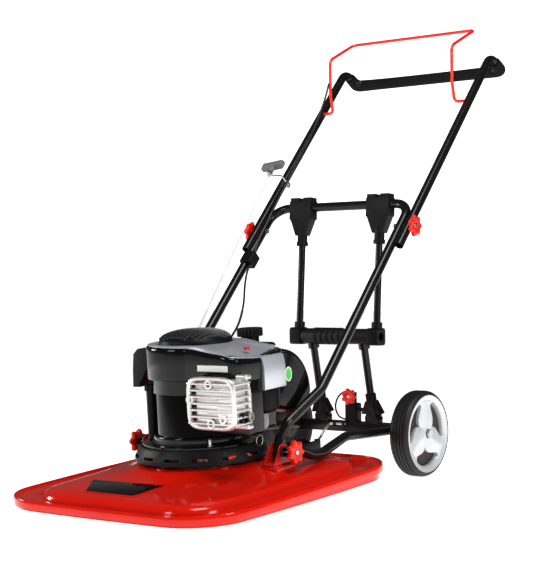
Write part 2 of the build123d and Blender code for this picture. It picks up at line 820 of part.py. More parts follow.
pivot_hole = cross_rod(pivot_y, pivot_z, -220, 220, bolt_radius + running)
mid_hole = cross_rod(mid_y, mid_z, -260, 260, 4 + running)
left_leg = [foot_end, ankle, shin, knee, leg_point(lower_leg_x, crossbar_reach)]
lower_handle_tube = tube(
    left_leg + [mirrored(point) for point in reversed(left_leg)],
    [30, 34, 60, 46, 46, 60, 34, 30],
    tube_radius,
    tube_wall,
)
lower_handle = cut(lower_handle_tube, [pivot_hole, mid_hole])
save(lower_handle, "lower_handle")

# ---- upper handle, foam grip and bail -----------------------------------------------------------
bail_hole = cross_rod(bail_y, bail_z, -220, 220, bail_radius + running)
left_upper = [
    leg_point(upper_leg_x, -upper_overlap),
    Vector(upper_leg_x, apex_y, apex_z),
    Vector(upper_leg_x, grip_y, grip_z),
]
upper_handle_tube = tube(
    left_upper + [mirrored(point) for point in reversed(left_upper)],
    [32, 38, 38, 32],
    tube_radius,
    tube_wall,
)
upper_handle = cut(upper_handle_tube, [mid_hole, bail_hole])
save(upper_handle, "upper_handle")

corner_dir = (Vector(0, grip_y, grip_z) - Vector(0, apex_y, apex_z)).normalized()
foam_start = Vector(upper_leg_x, grip_y, grip_z) - corner_dir * 40
foam_route = [foam_start, Vector(upper_leg_x, grip_y, grip_z)]
foam_grip = tube(
    foam_route + [mirrored(point) for point in reversed(foam_route)],
    [38, 38],
    foam_radius,
    foam_radius - tube_radius - foam_gap,
)
save(foam_grip, "foam_grip")

bail_left = [
    Vector(upper_leg_x - tube_radius + 4, bail_y, bail_z),
    Vector(bail_half_width, bail_y, bail_z),
    Vector(bail_half_width, 464, 972),
    Vector(bail_half_width, 463, 1066),
    Vector(bail_half_width + 2, 581, 1121),
]
bail = tube(
    bail_left + [mirrored(point) for point in reversed(bail_left)],
    [12, 30, 24, 14, 14, 24, 30, 12],
    bail_radius,
)
save(bail, "bail")


# ---- pull rope, its guide, and the bail cable ---------------------------------------------------
guide_along = 168.0
guide_eye = Vector(-200, 205, 747)
handle_bottom = guide_eye + Vector(0, 2, 9)
rope_exit = Vector(-62, -265, 349)
rope_dir = (guide_eye - rope_exit).normalized()
rope_radius = 2.2

guide_root = leg_point(-upper_leg_x, guide_along)
rope_guide = join([
    rod(guide_root, (1, 0, 0), tube_radius, tube_radius + 14, 3.5),
    rod(guide_root, (1, 0, 0), tube_radius + 5, tube_radius + 10, 8),
    tube(
        [guide_root + Vector(17, -2, 5), guide_root + Vector(20, -30, 22), guide_eye + Vector(-2, 8, -3)],
        [14],
        2.2,
    ),
])
with BuildPart() as guide_ring:
    with BuildSketch(Plane(origin=guide_eye, x_dir=(1, 0, 0), z_dir=rope_dir)):
        Circle(7.2)
        Circle(3.2, mode=Mode.SUBTRACT)
    extrude(amount=4, both=True)
rope_guide = join([rope_guide, guide_ring])
save(rope_guide, "rope_guide")

grip_bottom = guide_eye + rope_dir * 6
with BuildPart() as t_handle:
    with BuildSketch(Plane(origin=grip_bottom, x_dir=(1, 0, 0), z_dir=rope_dir)):
        Circle(6)
    extrude(amount=20, taper=-6)
    with BuildSketch(Plane(origin=grip_bottom + rope_dir * 20, x_dir=(1, 0, 0), z_dir=rope_dir)):
        SlotOverall(64, 18)
    extrude(amount=18)
    fillet(t_handle.edges().filter_by(GeomType.LINE), 2)
save(t_handle, "t_handle")

starter_rope = rod(rope_exit, rope_dir, 0, (grip_bottom - rope_exit).length, rope_radius)
save(starter_rope, "starter_rope")

cable_radius = 2.6
cable_x = lower_leg_x - tube_radius - 3.3
cable_top = Vector(-cable_x, 452, 970)
cable_mid = Vector(-cable_x, 196, 646)
cable_clip_point = leg_point(-cable_x, -98, 0)


def cord_radii(points):
    """Arc radii of a laid cable: 0.45 of the shorter run over the tangent of half the turn."""
    radii = []
    for before, here, after in zip(points, points[1:], points[2:]):
        turn = (here - before).get_angle(after - here)
        run = min((here - before).length, (after - here).length)
        radii.append(0.45 * run / tan(radians(turn) / 2))
    return radii


def cable(name, points):
    """One stretch of the bail cable, with its bend radii printed."""
    radii = cord_radii(points)
    piece = tube(points, radii, cable_radius)
    print(name, "bend radii", [round(radius) for radius in radii], "volume", round(piece.part.volume))
    save(piece, name)
    return piece


bail_front = 463 - bail_radius - cable_radius
cable_upper = cable("bail_cable_upper", [
    Vector(-bail_half_width, bail_front, 1003),
    Vector(-bail_half_width - 1, bail_front - 8, 977),
    Vector(-cable_x, 420, 925),
    Vector(-cable_x + 1, 375, 858),
    Vector(-cable_x, 318, 794),
    Vector(-cable_x + 1, 258, 722),
    cable_mid,
])
cable_lower = cable("bail_cable_lower", [
    cable_mid - Vector(0, 0.9, 1.1),
    Vector(-cable_x + 1, 168, 612),
    Vector(-cable_x, 138, 576),
    cable_clip_point,
    Vector(-cable_x + 2, 92, 505),
    Vector(-170, 58, 462),
    Vector(-144, 22, 420),
    Vector(-114, -36, 372),
    Vector(-95, -96, 338),
    Vector(cable_end_x, -144, 310),
    Vector(cable_end_x, -176, 292),
])

clip_plane = Plane(origin=leg_point(-lower_leg_x, -98), x_dir=(1, 0, 0), z_dir=leg_dir)
with BuildPart() as cable_clip:
    with BuildSketch(clip_plane):
        with Locations((6, 1)):
            RectangleRounded(34, 30, 4)
    extrude(amount=17, both=True)
    chamfer(cable_clip.edges().filter_by(Axis.X), 1)
clip_bore = rod(leg_point(-lower_leg_x, -98), leg_dir, -40, 40, tube_radius + running)
cable_clip = cut(cable_clip, [clip_bore, cable_lower])
save(cable_clip, "cable_clip")


# ---- transport carriage -------------------------------------------------------------------------
plug_length = 24.0
outer_x = wheel_inner_x + tyre_width
lever_y, lever_z = axle_y - beam_size / 2 - 5.5, 117.0
lever_radius = 3.5
axle_pins = []
with BuildPart() as axle_beam:
    with BuildSketch(side_plane(-beam_half)):
        with Locations((axle_y, beam_z)):
            RectangleRounded(beam_size, beam_size, 3)
            RectangleRounded(beam_size - 4, beam_size - 4, 2, mode=Mode.SUBTRACT)
    extrude(amount=2 * beam_half)
    for x in (-beam_half, beam_half - plug_length):
        with BuildSketch(side_plane(x)):
            with Locations((axle_y, beam_z)):
                RectangleRounded(beam_size - 3, beam_size - 3, 2)
        extrude(amount=plug_length)
    for x in (-34, -8):
        with BuildSketch(side_plane(x)):
            with Locations((lever_y, lever_z)):
                Rectangle(11, 13)
                Circle(lever_radius + running, mode=Mode.SUBTRACT)
        extrude(amount=7)
    for x in (-post_x, post_x):
        for ear in (-20, 16):
            with BuildSketch(side_plane(x + ear)):
                with BuildLine():
                    top = beam_z + beam_size / 2
                    Polyline((post_foot_y + 9, post_foot_z), (post_foot_y + 9, top), (post_foot_y - 9, top),
                             (post_foot_y - 9, post_foot_z))
                    ThreePointArc((post_foot_y - 9, post_foot_z), (post_foot_y, post_foot_z + 9),
                                  (post_foot_y + 9, post_foot_z))
                make_face()
                with Locations((post_foot_y, post_foot_z)):
                    Circle(4, mode=Mode.SUBTRACT)
            extrude(amount=4)
    for side in (1, -1):
        axle_pins.append(hex_bolt(axle_y, axle_z, outer_x + 0.5, beam_half - plug_length, 6, side))
        add(axle_pins[-1].part, mode=Mode.SUBTRACT)
save(axle_beam, "axle_beam")
save(join(axle_pins), "axle_bolts")

arm_route = [
    Vector(arm_foot_x, pivot_y - 13, pivot_z + 1),
    Vector(arm_foot_x, pivot_y + 48, pivot_z - 1),
    Vector(199, pivot_y + 90, 95),
    Vector(191, pivot_y + 142, 93),
    Vector(166, pivot_y + 276, 117),
    Vector(148, axle_y - beam_size / 2, beam_z),
]
arms = []
for side in (1, -1):
    route = [point if side > 0 else mirrored(point) for point in arm_route]
    arm_tube = tube(route, [60, 70, 90, 120], arm_radius, 2)
    with BuildPart() as swing_arm:
        add(arm_tube.part)
        add(pivot_hole.part, mode=Mode.SUBTRACT)
        split(bisect_by=Plane(origin=(0, axle_y - beam_size / 2, 0), z_dir=(0, -1, 0)), keep=Keep.TOP)
    arms.append(swing_arm)
save(join(arms), "swing_arms")

lift_point = Vector(0, lift_y, lift_z)
post_dir = (lift_point - Vector(0, post_foot_y, post_foot_z)).normalized()
post_length = (lift_point - Vector(0, post_foot_y, post_foot_z)).length
crossbar_point = Vector(0, crossbar_y, crossbar_z)
strut_dir = (crossbar_point - lift_point).normalized()
strut_length = (crossbar_point - lift_point).length
sleeve_top = 62.0
grip_radius = 20.0
core_radius = 13.0


def on_post(x, along):
    """A point on a post, measured up from its foot pin."""
    return Vector(x, post_foot_y, post_foot_z) + post_dir * along


def on_strut(x, along):
    """A point on an upper strut, measured up from the lift grip."""
    return Vector(x, lift_y, lift_z) + strut_dir * along


def post_foot(x):
    """A moulded foot: a tapering tent between the ears, pinned to the beam, with a sleeve on top."""
    with BuildPart() as piece:
        with BuildSketch(Plane(origin=on_post(x, -7), x_dir=(1, 0, 0), z_dir=post_dir)):
            Rectangle(31, 20)
        with BuildSketch(Plane(origin=on_post(x, 36), x_dir=(1, 0, 0), z_dir=post_dir)):
            Rectangle(26, 22)
        loft()
        with BuildSketch(Plane(origin=on_post(x, 12), x_dir=(1, 0, 0), z_dir=post_dir)):
            Rectangle(56, 20)
        with BuildSketch(Plane(origin=on_post(x, 44), x_dir=(1, 0, 0), z_dir=post_dir)):
            Rectangle(26, 21)
        loft()
        with BuildSketch(Plane(origin=on_post(x, 34), x_dir=(1, 0, 0), z_dir=post_dir)):
            Circle(13)
        extrude(amount=sleeve_top - 34)
    return cut(piece, [
        rod(on_post(x, 0), post_dir, 14, 80, post_radius),
        cross_rod(post_foot_y, post_foot_z, x - 40, x + 40, 4),
    ])


posts, feet, foot_pins = [], [], []
post_end = post_length - core_radius - 8
for x in (post_x, -post_x):
    feet.append(post_foot(x))
    foot_pins.append(cross_rod(post_foot_y, post_foot_z, x - 24, x + 24, 4))
    posts.append(rod(on_post(x, 0), post_dir, 14, post_end, post_radius, post_radius - 1.5))
save(join(posts), "posts")
save(join([cut(foot, [axle_beam]) for foot in feet] + foot_pins), "post_feet")

with BuildPart() as lift_core:
    add(cross_rod(lift_y, lift_z, -lift_half - 3, lift_half + 3, core_radius).part)
    for x in (-post_x, post_x):
        add(rod(on_post(x, post_length), post_dir, -30, 0, 13.8).part)
        add(rod(on_post(x, 0), post_dir, 0, post_end, post_radius).part, mode=Mode.SUBTRACT)
    add(cross_rod(lift_y, lift_z, -lift_half - 3, lift_half + 3, core_radius - 2).part, mode=Mode.SUBTRACT)
save(lift_core, "lift_core")

rib_count = 5
with BuildPart() as lift_grip:
    with BuildSketch(side_plane(-lift_half + 26)):
        with Locations((lift_y, lift_z)):
            Circle(grip_radius - 1)
            Circle(core_radius, mode=Mode.SUBTRACT)
    extrude(amount=2 * lift_half - 52)
    for index in range(rib_count):
        with BuildSketch(side_plane(-66 + index * 17)):
            with Locations((lift_y, lift_z)):
                Circle(grip_radius + 1)
                Circle(core_radius, mode=Mode.SUBTRACT)
        extrude(amount=12)
    for x in (-post_x, post_x):
        add(rod(on_post(x, post_length), post_dir, -30, 0, 14).part, mode=Mode.SUBTRACT)
save(lift_grip, "lift_grip")

end_clamps = []
for side in (1, -1):
    x = side * strut_x
    with BuildPart() as end_clamp:
        with BuildSketch(side_plane(x - 17)):
            with Locations((lift_y, lift_z)):
                RectangleRounded(38, 42, 8)
        extrude(amount=30)
        with BuildSketch(Plane(origin=on_strut(x, 18), x_dir=(1, 0, 0), z_dir=strut_dir)):
            Circle(12.5)
        extrude(amount=17)
    end_clamps.append(cut(end_clamp, [
        cross_rod(lift_y, lift_z, x - 40, x + 40, core_radius),
        rod(on_strut(x, 0), strut_dir, 20, 60, strut_radius),
        lift_grip,
    ]))
save(join(end_clamps), "lift_end_clamps")

clamp_low = 70.0
struts, clamps = [], []
for side in (1, -1):
    x = side * strut_x
    strut = rod(on_strut(x, 0), strut_dir, 20, strut_length - tube_radius - 5, strut_radius, strut_radius - 1.5)
    struts.append(strut)
    with BuildPart() as clamp_body:
        with BuildSketch(Plane(origin=on_strut(x, strut_length - clamp_low), x_dir=(1, 0, 0), z_dir=strut_dir)):
            Rectangle(30, 22)
        with BuildSketch(Plane(origin=on_strut(x, strut_length - 30), x_dir=(1, 0, 0), z_dir=strut_dir)):
            Rectangle(60, 26)
        loft()
        with BuildSketch(Plane(origin=on_strut(x, strut_length - 30), x_dir=(1, 0, 0), z_dir=strut_dir)):
            Rectangle(64, 30)
        extrude(amount=46)
        with BuildSketch(Plane(origin=on_strut(x, strut_length + 16), x_dir=(1, 0, 0), z_dir=strut_dir)):
            with Locations((-19, 0), (19, 0)):
                Rectangle(24, 26)
        extrude(amount=9)
    clamps.append(cut(clamp_body, [
        rod(on_strut(x, 0), strut_dir, 20, strut_length - tube_radius - 5, strut_radius),
        cross_rod(crossbar_y, crossbar_z, x - 50, x + 50, tube_radius),
        rod(on_strut(x, strut_length), strut_dir, 14, 40, 5),
    ]))
save(join(struts), "struts")
save(join(clamps), "crossbar_clamps")

# ---- central latch on the beam ------------------------------------------------------------------
latch_x = 12.0
latch_y = axle_y
latch_low = beam_z + beam_size / 2
with BuildPart() as latch_block:
    with BuildSketch(Plane.XY.offset(latch_low)):
        with Locations((latch_x, latch_y)):
            RectangleRounded(36, 24, 4)
    extrude(amount=46)
    fillet(latch_block.edges().group_by(Axis.Z)[-1], 5)
brace_z = latch_low + 30
latch_pin_z = latch_low + 62
with BuildPart() as latch_body:
    add(latch_block.part)
    with BuildSketch(Plane.XY.offset(latch_low + 40)):
        with Locations((latch_x, latch_y)):
            Circle(9)
    extrude(amount=32)
    add(rod((0, latch_y - 4, brace_z), (1, 0, 0), latch_x + 10, post_x - 7, 5).part)
    add(rod((latch_x, latch_y, latch_pin_z), (0, 1, 0), -16, 6, 4).part)
    add(rod(on_post(post_x, 0), post_dir, 14, post_length, post_radius).part, mode=Mode.SUBTRACT)
    add(feet[0].part, mode=Mode.SUBTRACT)
save(latch_body, "latch_block")

knob_plane = Plane(origin=(latch_x, latch_y - 13, latch_pin_z), x_dir=(1, 0, 0), z_dir=(0, -1, 0))
with BuildPart() as latch_knob:
    with BuildSketch(knob_plane):
        Circle(16)
        with PolarLocations(16, 7):
            Circle(5.4)
    extrude(amount=15)
    with BuildSketch(knob_plane):
        Circle(4 + running)
    extrude(amount=5, mode=Mode.SUBTRACT)
save(latch_knob, "latch_knob")


# ---- wire lock lever ----------------------------------------------------------------------------
lever_route = [
    Vector(2, lever_y, lever_z),
    Vector(-44, lever_y, lever_z),
    Vector(-46, lever_y - 22, lever_z - 13),
    Vector(-44, lever_y - 46, 84),
    Vector(-16, lever_y - 112, 78),
    Vector(-12, lever_y - 146, 79),
]
lock_lever = tube(lever_route, [9, 14, 20, 40], lever_radius)
save(lock_lever, "lock_lever")


# ---- wheels -------------------------------------------------------------------------------------
rim_radius = 93.5
hub_radius = 13.0


def wheel_plane(side):
    """Plane through the axle whose own X is outward along the axle and whose own Y is up."""
    return Plane(origin=(0, axle_y, axle_z), x_dir=(side, 0, 0), z_dir=(0, side, 0))


axle_axis = Axis((0, axle_y, axle_z), (1, 0, 0))
for side_name, side in (("left", 1), ("right", -1)):
    with BuildPart() as tyre:
        with BuildSketch(wheel_plane(side)):
            with BuildLine():
                Polyline((wheel_inner_x, 84), (wheel_inner_x, 96))
                Spline(
                    (wheel_inner_x, 96),
                    (wheel_inner_x + 9, wheel_radius - 0.8),
                    (wheel_inner_x + tyre_width / 2, wheel_radius),
                    (outer_x - 9, wheel_radius - 0.8),
                    (outer_x, 95),
                )
                Polyline((outer_x, 95), (outer_x, rim_radius), (outer_x - 8, rim_radius), (outer_x - 8, 84),
                         (wheel_inner_x, 84))
            make_face()
        revolve(axis=axle_axis)
        for groove in (12, 21, 30, 39):
            with BuildSketch(wheel_plane(side)):
                with Locations((wheel_inner_x + groove, wheel_radius)):
                    Rectangle(2.4, 4)
            revolve(axis=axle_axis, mode=Mode.SUBTRACT)
    save(tyre, f"tyre_{side_name}")

    with BuildPart() as core:
        with BuildSketch(wheel_plane(side)):
            with BuildLine():
                Polyline(
                    (wheel_inner_x, 6 + running), (wheel_inner_x, 18), (wheel_inner_x + 2, 30), (wheel_inner_x + 28, 40),
                    (wheel_inner_x + 28, 78), (wheel_inner_x + 2, 80), (wheel_inner_x + 2, 84),
                    (outer_x - 17, 84), (outer_x - 17, hub_radius), (outer_x, 11), (outer_x, 6 + running),
                    (wheel_inner_x, 6 + running),
                )
            make_face()
        revolve(axis=axle_axis)
    save(core, f"wheel_core_{side_name}")

    with BuildPart() as rim:
        with BuildSketch(wheel_plane(side)):
            with BuildLine():
                Polyline(
                    (outer_x - 17, hub_radius), (outer_x - 4, hub_radius), (outer_x - 2, 22), (outer_x - 10, 60),
                    (outer_x - 8, 80), (outer_x - 1, 86), (outer_x, rim_radius), (outer_x - 8, rim_radius),
                    (outer_x - 8, 84), (outer_x - 17, 84), (outer_x - 17, hub_radius),
                )
            make_face()
        revolve(axis=axle_axis)
        face = Plane(origin=(side * (outer_x - 17), axle_y, axle_z), x_dir=(0, 1, 0), z_dir=(side, 0, 0))
        with BuildSketch(face):
            for index in range(3):
                start = radians(90 + 120 * index + 26)
                end = radians(90 + 120 * index + 94)
                middle = (start + end) / 2
                with BuildLine():
                    outer_start = (78 * cos(start), 78 * sin(start))
                    outer_end = (78 * cos(end), 78 * sin(end))
                    ThreePointArc(outer_start, (78 * cos(middle), 78 * sin(middle)), outer_end)
                    Line(outer_end, (30 * cos(middle), 30 * sin(middle)))
                    Line((30 * cos(middle), 30 * sin(middle)), outer_start)
                make_face()
        extrude(amount=20, mode=Mode.SUBTRACT)
    save(rim, f"wheel_rim_{side_name}")
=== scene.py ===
import json
import math

import bpy
from mathutils import Matrix, Vector

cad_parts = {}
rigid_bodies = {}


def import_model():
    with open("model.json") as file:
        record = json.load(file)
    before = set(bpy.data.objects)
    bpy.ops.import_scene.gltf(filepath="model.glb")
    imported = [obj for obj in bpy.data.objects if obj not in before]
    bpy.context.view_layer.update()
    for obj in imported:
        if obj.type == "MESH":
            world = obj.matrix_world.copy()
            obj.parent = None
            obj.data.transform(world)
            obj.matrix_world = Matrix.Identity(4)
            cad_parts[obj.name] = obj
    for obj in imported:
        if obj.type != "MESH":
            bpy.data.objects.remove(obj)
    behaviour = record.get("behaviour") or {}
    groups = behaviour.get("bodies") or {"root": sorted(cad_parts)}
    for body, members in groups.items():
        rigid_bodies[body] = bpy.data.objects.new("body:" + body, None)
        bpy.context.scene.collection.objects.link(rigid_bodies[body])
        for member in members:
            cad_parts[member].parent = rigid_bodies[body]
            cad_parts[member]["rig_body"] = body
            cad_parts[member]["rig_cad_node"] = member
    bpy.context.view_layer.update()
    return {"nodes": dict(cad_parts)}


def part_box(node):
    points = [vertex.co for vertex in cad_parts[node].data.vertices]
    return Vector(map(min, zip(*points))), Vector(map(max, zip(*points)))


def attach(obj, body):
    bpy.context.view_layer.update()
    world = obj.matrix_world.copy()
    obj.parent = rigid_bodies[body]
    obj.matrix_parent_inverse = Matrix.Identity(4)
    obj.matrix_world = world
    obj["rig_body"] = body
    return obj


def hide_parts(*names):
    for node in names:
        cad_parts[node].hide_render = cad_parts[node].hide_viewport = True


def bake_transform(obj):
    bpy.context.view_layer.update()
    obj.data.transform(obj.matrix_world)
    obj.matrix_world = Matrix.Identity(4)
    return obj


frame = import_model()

nodes = frame["nodes"]


# ---- camera, floor and light --------------------------------------------------------------------
# A long lens at hip height looks at the machine from its front left. The floor and the sky are a
# pale studio sweep, with one large soft light over the engine and a smaller one beside the wheels.
camera_azimuth, camera_pitch, camera_roll = 36.8, 90.1, -0.5
camera_data = bpy.data.cameras.new("camera")
camera_data.sensor_fit = "HORIZONTAL"
camera_data.sensor_width = 36
camera_data.lens = 97.4
camera_data.shift_y = 0.0071
camera = bpy.data.objects.new("camera", camera_data)
bpy.context.scene.collection.objects.link(camera)
camera.matrix_world = (
    Matrix.Translation((1.9931, -2.7434, 0.4581))
    @ Matrix.Rotation(math.radians(camera_azimuth), 4, "Z")
    @ Matrix.Rotation(math.radians(camera_pitch), 4, "X")
    @ Matrix.Rotation(math.radians(camera_roll), 4, "Z")
)
bpy.context.scene.camera = camera
bpy.context.scene.view_settings.view_transform = "Standard"
bpy.context.scene.view_settings.gamma = 0.88


def only(*pieces):
    """Select these objects and nothing else, the first one active."""
    bpy.ops.object.select_all(action="DESELECT")
    for piece in pieces:
        piece.select_set(True)
    bpy.context.view_layer.objects.active = pieces[0]


def softbox(name, place, aim, size, watts):
    """A square area light that points at a place on the machine."""
    lamp = bpy.data.lights.new(name, "AREA")
    lamp.size = size
    lamp.energy = watts
    holder = bpy.data.objects.new(name, lamp)
    holder.location = place
    holder.rotation_euler = (Vector(aim) - Vector(place)).to_track_quat("-Z", "Y").to_euler()
    bpy.context.scene.collection.objects.link(holder)


softbox("top_light", (0.9, -0.6, 2.6), (0, -0.1, 0.4), 1.1, 46)
softbox("front_light", (-1.2, -3.4, 1.9), (0, -0.2, 0.3), 0.9, 30)
softbox("side_light", (3.0, -0.2, 1.3), (0, 0.1, 0.4), 0.9, 30)
softbox("left_strip", (-2.4, -1.0, 0.9), (0, -0.2, 0.3), 0.7, 22)
sky = bpy.data.worlds.new("studio")
bpy.context.scene.world = sky
sky.use_nodes = True
seen = sky.node_tree.nodes.new("ShaderNodeLightPath")
strength = sky.node_tree.nodes.new("ShaderNodeMapRange")
strength.inputs["To Min"].default_value = 0.12
strength.inputs["To Max"].default_value = 1.6
sky.node_tree.links.new(seen.outputs["Is Camera Ray"], strength.inputs["Value"])
backdrop = sky.node_tree.nodes["Background"]
backdrop.inputs["Color"].default_value = (1, 1, 1, 1)
sky.node_tree.links.new(strength.outputs["Result"], backdrop.inputs["Strength"])

bpy.ops.object.select_all(action="DESELECT")
bpy.ops.mesh.primitive_plane_add(size=40, location=(0, 0, -0.0005))
floor = bpy.context.object
floor.name = "floor"
floor_finish = bpy.data.materials.new("floor_finish")
floor_finish.use_nodes = True
floor_shader = floor_finish.node_tree.nodes["Principled BSDF"]
floor_shader.inputs["Base Color"].default_value = (0.9, 0.9, 0.9, 1)
floor_shader.inputs["Roughness"].default_value = 0.85
floor_shader.inputs["Emission Color"].default_value = (1, 1, 1, 1)
floor_shader.inputs["Emission Strength"].default_value = 0.9
floor.data.materials.append(floor_finish)


# ---- deck ---------------------------------------------------------------------------------------
# One large moulding in glossy red plastic: a rounded lip, a gutter inside it, a domed body that
# rises to a round neck under the engine, and a deep skirt. It is moulded whole with 3 mm walls.
tilt = math.radians(4)
deck_up = Vector((0, -math.sin(tilt), math.cos(tilt)))
deck_back = Vector((0, math.cos(tilt), math.sin(tilt)))
deck_origin = Vector((0, -0.316, 0.040))
# Places x across, y back and z up in the tilted deck's own directions, in millimetres.
deck_frame = Matrix((
    (1, 0, 0, deck_origin.x),
    (0, deck_back.y, deck_up.y, deck_origin.y),
    (0, deck_back.z, deck_up.z, deck_origin.z),
    (0, 0, 0, 1),
)) @ Matrix.Scale(0.001, 4)


def finish(name, colour, roughness, metallic=0.0, coat=0.0, grain=400.0, depth=0.05, mottle=0.08,
           uneven=0.08, edge=0.0, spec=0.5):
    """A surface with a fine grain in its bump, uneven gloss and a slight drift of colour.

    grain is the pattern's scale per metre, and edge lightens worn corners by that share."""
    material = bpy.data.materials.new(name)
    material.use_nodes = True
    tree = material.node_tree
    shader = tree.nodes["Principled BSDF"]
    shader.inputs["Metallic"].default_value = metallic
    shader.inputs["Coat Weight"].default_value = coat
    shader.inputs["Coat Roughness"].default_value = 0.06
    shader.inputs["Specular IOR Level"].default_value = spec
    where = tree.nodes.new("ShaderNodeTexCoord")
    fine = tree.nodes.new("ShaderNodeTexNoise")
    fine.inputs["Scale"].default_value = grain
    fine.inputs["Detail"].default_value = 4
    tree.links.new(where.outputs["Object"], fine.inputs["Vector"])
    broad = tree.nodes.new("ShaderNodeTexNoise")
    broad.inputs["Scale"].default_value = 9
    broad.inputs["Detail"].default_value = 3
    tree.links.new(where.outputs["Object"], broad.inputs["Vector"])
    shade = tree.nodes.new("ShaderNodeValToRGB")
    low = [c * (1 - mottle) for c in colour]
    high = [min(1, c * (1 + mottle)) for c in colour]
    shade.color_ramp.elements[0].position = 0.3
    shade.color_ramp.elements[0].color = (*low, 1)
    shade.color_ramp.elements[1].position = 0.7
    shade.color_ramp.elements[1].color = (*high, 1)
    tree.links.new(broad.outputs["Fac"], shade.inputs["Fac"])
    base = shade.outputs["Color"]
    if edge:
        corner = tree.nodes.new("ShaderNodeNewGeometry")
        worn = tree.nodes.new("ShaderNodeValToRGB")
        worn.color_ramp.elements[0].position = 0.52
        worn.color_ramp.elements[1].position = 0.62
        tree.links.new(corner.outputs["Pointiness"], worn.inputs["Fac"])
        amount = tree.nodes.new("ShaderNodeMath")
        amount.operation = "MULTIPLY"
        amount.inputs[1].default_value = edge
        tree.links.new(worn.outputs["Color"], amount.inputs[0])
        mix = tree.nodes.new("ShaderNodeMix")
        mix.data_type = "RGBA"
        mix.inputs["B"].default_value = (*[min(1, c * 1.6 + 0.08) for c in colour], 1)
        tree.links.new(amount.outputs["Value"], mix.inputs["Factor"])
        tree.links.new(base, mix.inputs["A"])
        base = mix.outputs["Result"]
    tree.links.new(base, shader.inputs["Base Color"])
    gloss = tree.nodes.new("ShaderNodeMapRange")
    gloss.inputs["To Min"].default_value = max(0.02, roughness - uneven)
    gloss.inputs["To Max"].default_value = min(1, roughness + uneven)
    tree.links.new(broad.outputs["Fac"], gloss.inputs["Value"])
    tree.links.new(gloss.outputs["Result"], shader.inputs["Roughness"])
    bump = tree.nodes.new("ShaderNodeBump")
    bump.inputs["Strength"].default_value = depth
    bump.inputs["Distance"].default_value = 0.001
    tree.links.new(fine.outputs["Fac"], bump.inputs["Height"])
    tree.links.new(bump.outputs["Normal"], shader.inputs["Normal"])
    return material


def paint(material, *names):
    """Give these CAD nodes one material."""
    for name in names:
        mesh = nodes[name].data
        mesh.materials.clear()
        mesh.materials.append(material)


def settle(piece, name, material, body, replaced=(), smooth=35):
    """Name a finished piece, apply its place, smooth it, paint it and hang it on its body."""
    only(piece)
    piece.name = name
    piece.data.name = name
    bpy.ops.object.transform_apply(location=True, rotation=True, scale=True)
    bpy.ops.object.shade_smooth_by_angle(angle=math.radians(smooth))
    piece.data.materials.clear()
    piece.data.materials.append(material)
    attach(piece, body)
    if replaced:
        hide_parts(*replaced)


def place_key(piece, index):
    """A vertex's place, rounded so that two vertices in one place give the same key."""
    return tuple(round(c, 7) for c in piece.data.vertices[index].co)


def loft(rings, closed=False, capped=False):
    """Extrude a circle's edge from ring to ring, each a list of as many points, into a skin."""
    bpy.ops.object.select_all(action="DESELECT")
    count = len(rings[0])
    bpy.ops.mesh.primitive_circle_add(vertices=count, radius=1)
    skin = bpy.context.object
    for vertex, point in zip(skin.data.vertices, rings[0]):
        vertex.co = point
    current = list(range(count))
    for ring in rings[1:]:
        homes = {place_key(skin, index): k for k, index in enumerate(current)}
        bpy.ops.object.mode_set(mode="EDIT")
        bpy.ops.mesh.select_mode(type="VERT")
        bpy.ops.mesh.extrude_region_move()
        bpy.ops.object.mode_set(mode="OBJECT")
        new = [v.index for v in skin.data.vertices if v.select]
        current = [0] * count
        for index in new:
            current[homes[place_key(skin, index)]] = index
        for index, point in zip(current, ring):
            skin.data.vertices[index].co = point
    if capped:
        bpy.ops.object.mode_set(mode="EDIT")
        bpy.ops.mesh.edge_face_add()
        bpy.ops.mesh.select_all(action="DESELECT")
        bpy.ops.mesh.select_non_manifold(extend=False)
        bpy.ops.mesh.edge_face_add()
        bpy.ops.object.mode_set(mode="OBJECT")
    if closed:
        bpy.ops.object.mode_set(mode="EDIT")
        bpy.ops.mesh.select_all(action="DESELECT")
        bpy.ops.mesh.select_non_manifold(extend=False)
        bpy.ops.mesh.bridge_edge_loops()
        bpy.ops.object.mode_set(mode="OBJECT")
    bpy.ops.object.mode_set(mode="EDIT")
    bpy.ops.mesh.select_all(action="SELECT")
    bpy.ops.mesh.normals_make_consistent(inside=False)
    bpy.ops.object.mode_set(mode="OBJECT")
    return skin


ring_points = 240
search_reach, search_steps = 900.0, 26
least_corner = 6.0


def beyond(across, along, corner):
    """How far a place is outside a rounded corner, from its distances past two straight sides."""
    past_x, past_y = across + corner, along + corner
    return math.hypot(max(past_x, 0), max(past_y, 0)) + min(max(past_x, past_y), 0) - corner


def plan_ring(outside, height, count):
    """Points round an outline, each found along a ray from the middle by halving the reach."""
    points = []
    for k in range(count):
        turn = 2 * math.pi * k / count
        dx, dy = math.cos(turn), math.sin(turn)
        near, far = 0.0, search_reach
        for _ in range(search_steps):
            reach = (near + far) / 2
            if outside(reach * dx, reach * dy) > 0:
                far = reach
            else:
                near = reach
        x, y = near * dx, near * dy
        points.append((x, y, height(x, y) if callable(height) else height))
    return points


def rounded_ring(half_x, low_y, high_y, corner, height, bulge=0.0, inset=0.0):
    """A rounded rectangle with gently bulged sides, drawn in by the inset."""
    middle = (low_y + high_y) / 2
    half_y = (high_y - low_y) / 2 - inset
    half_x -= inset
    corner = max(least_corner, corner - inset)

    def outside(x, y):
        y -= middle
        side = abs(x) - (half_x - bulge * (y / half_y) ** 2)
        end = abs(y) - (half_y - bulge * (x / half_x) ** 2)
        return beyond(side, end, corner)

    return plan_ring(outside, height, ring_points)


def circle_ring(radius, height, count=ring_points):
    """Points round a circle about the crankshaft."""
    turns = [2 * math.pi * k / count for k in range(count)]
    return [(radius * math.cos(t), radius * math.sin(t), height) for t in turns]


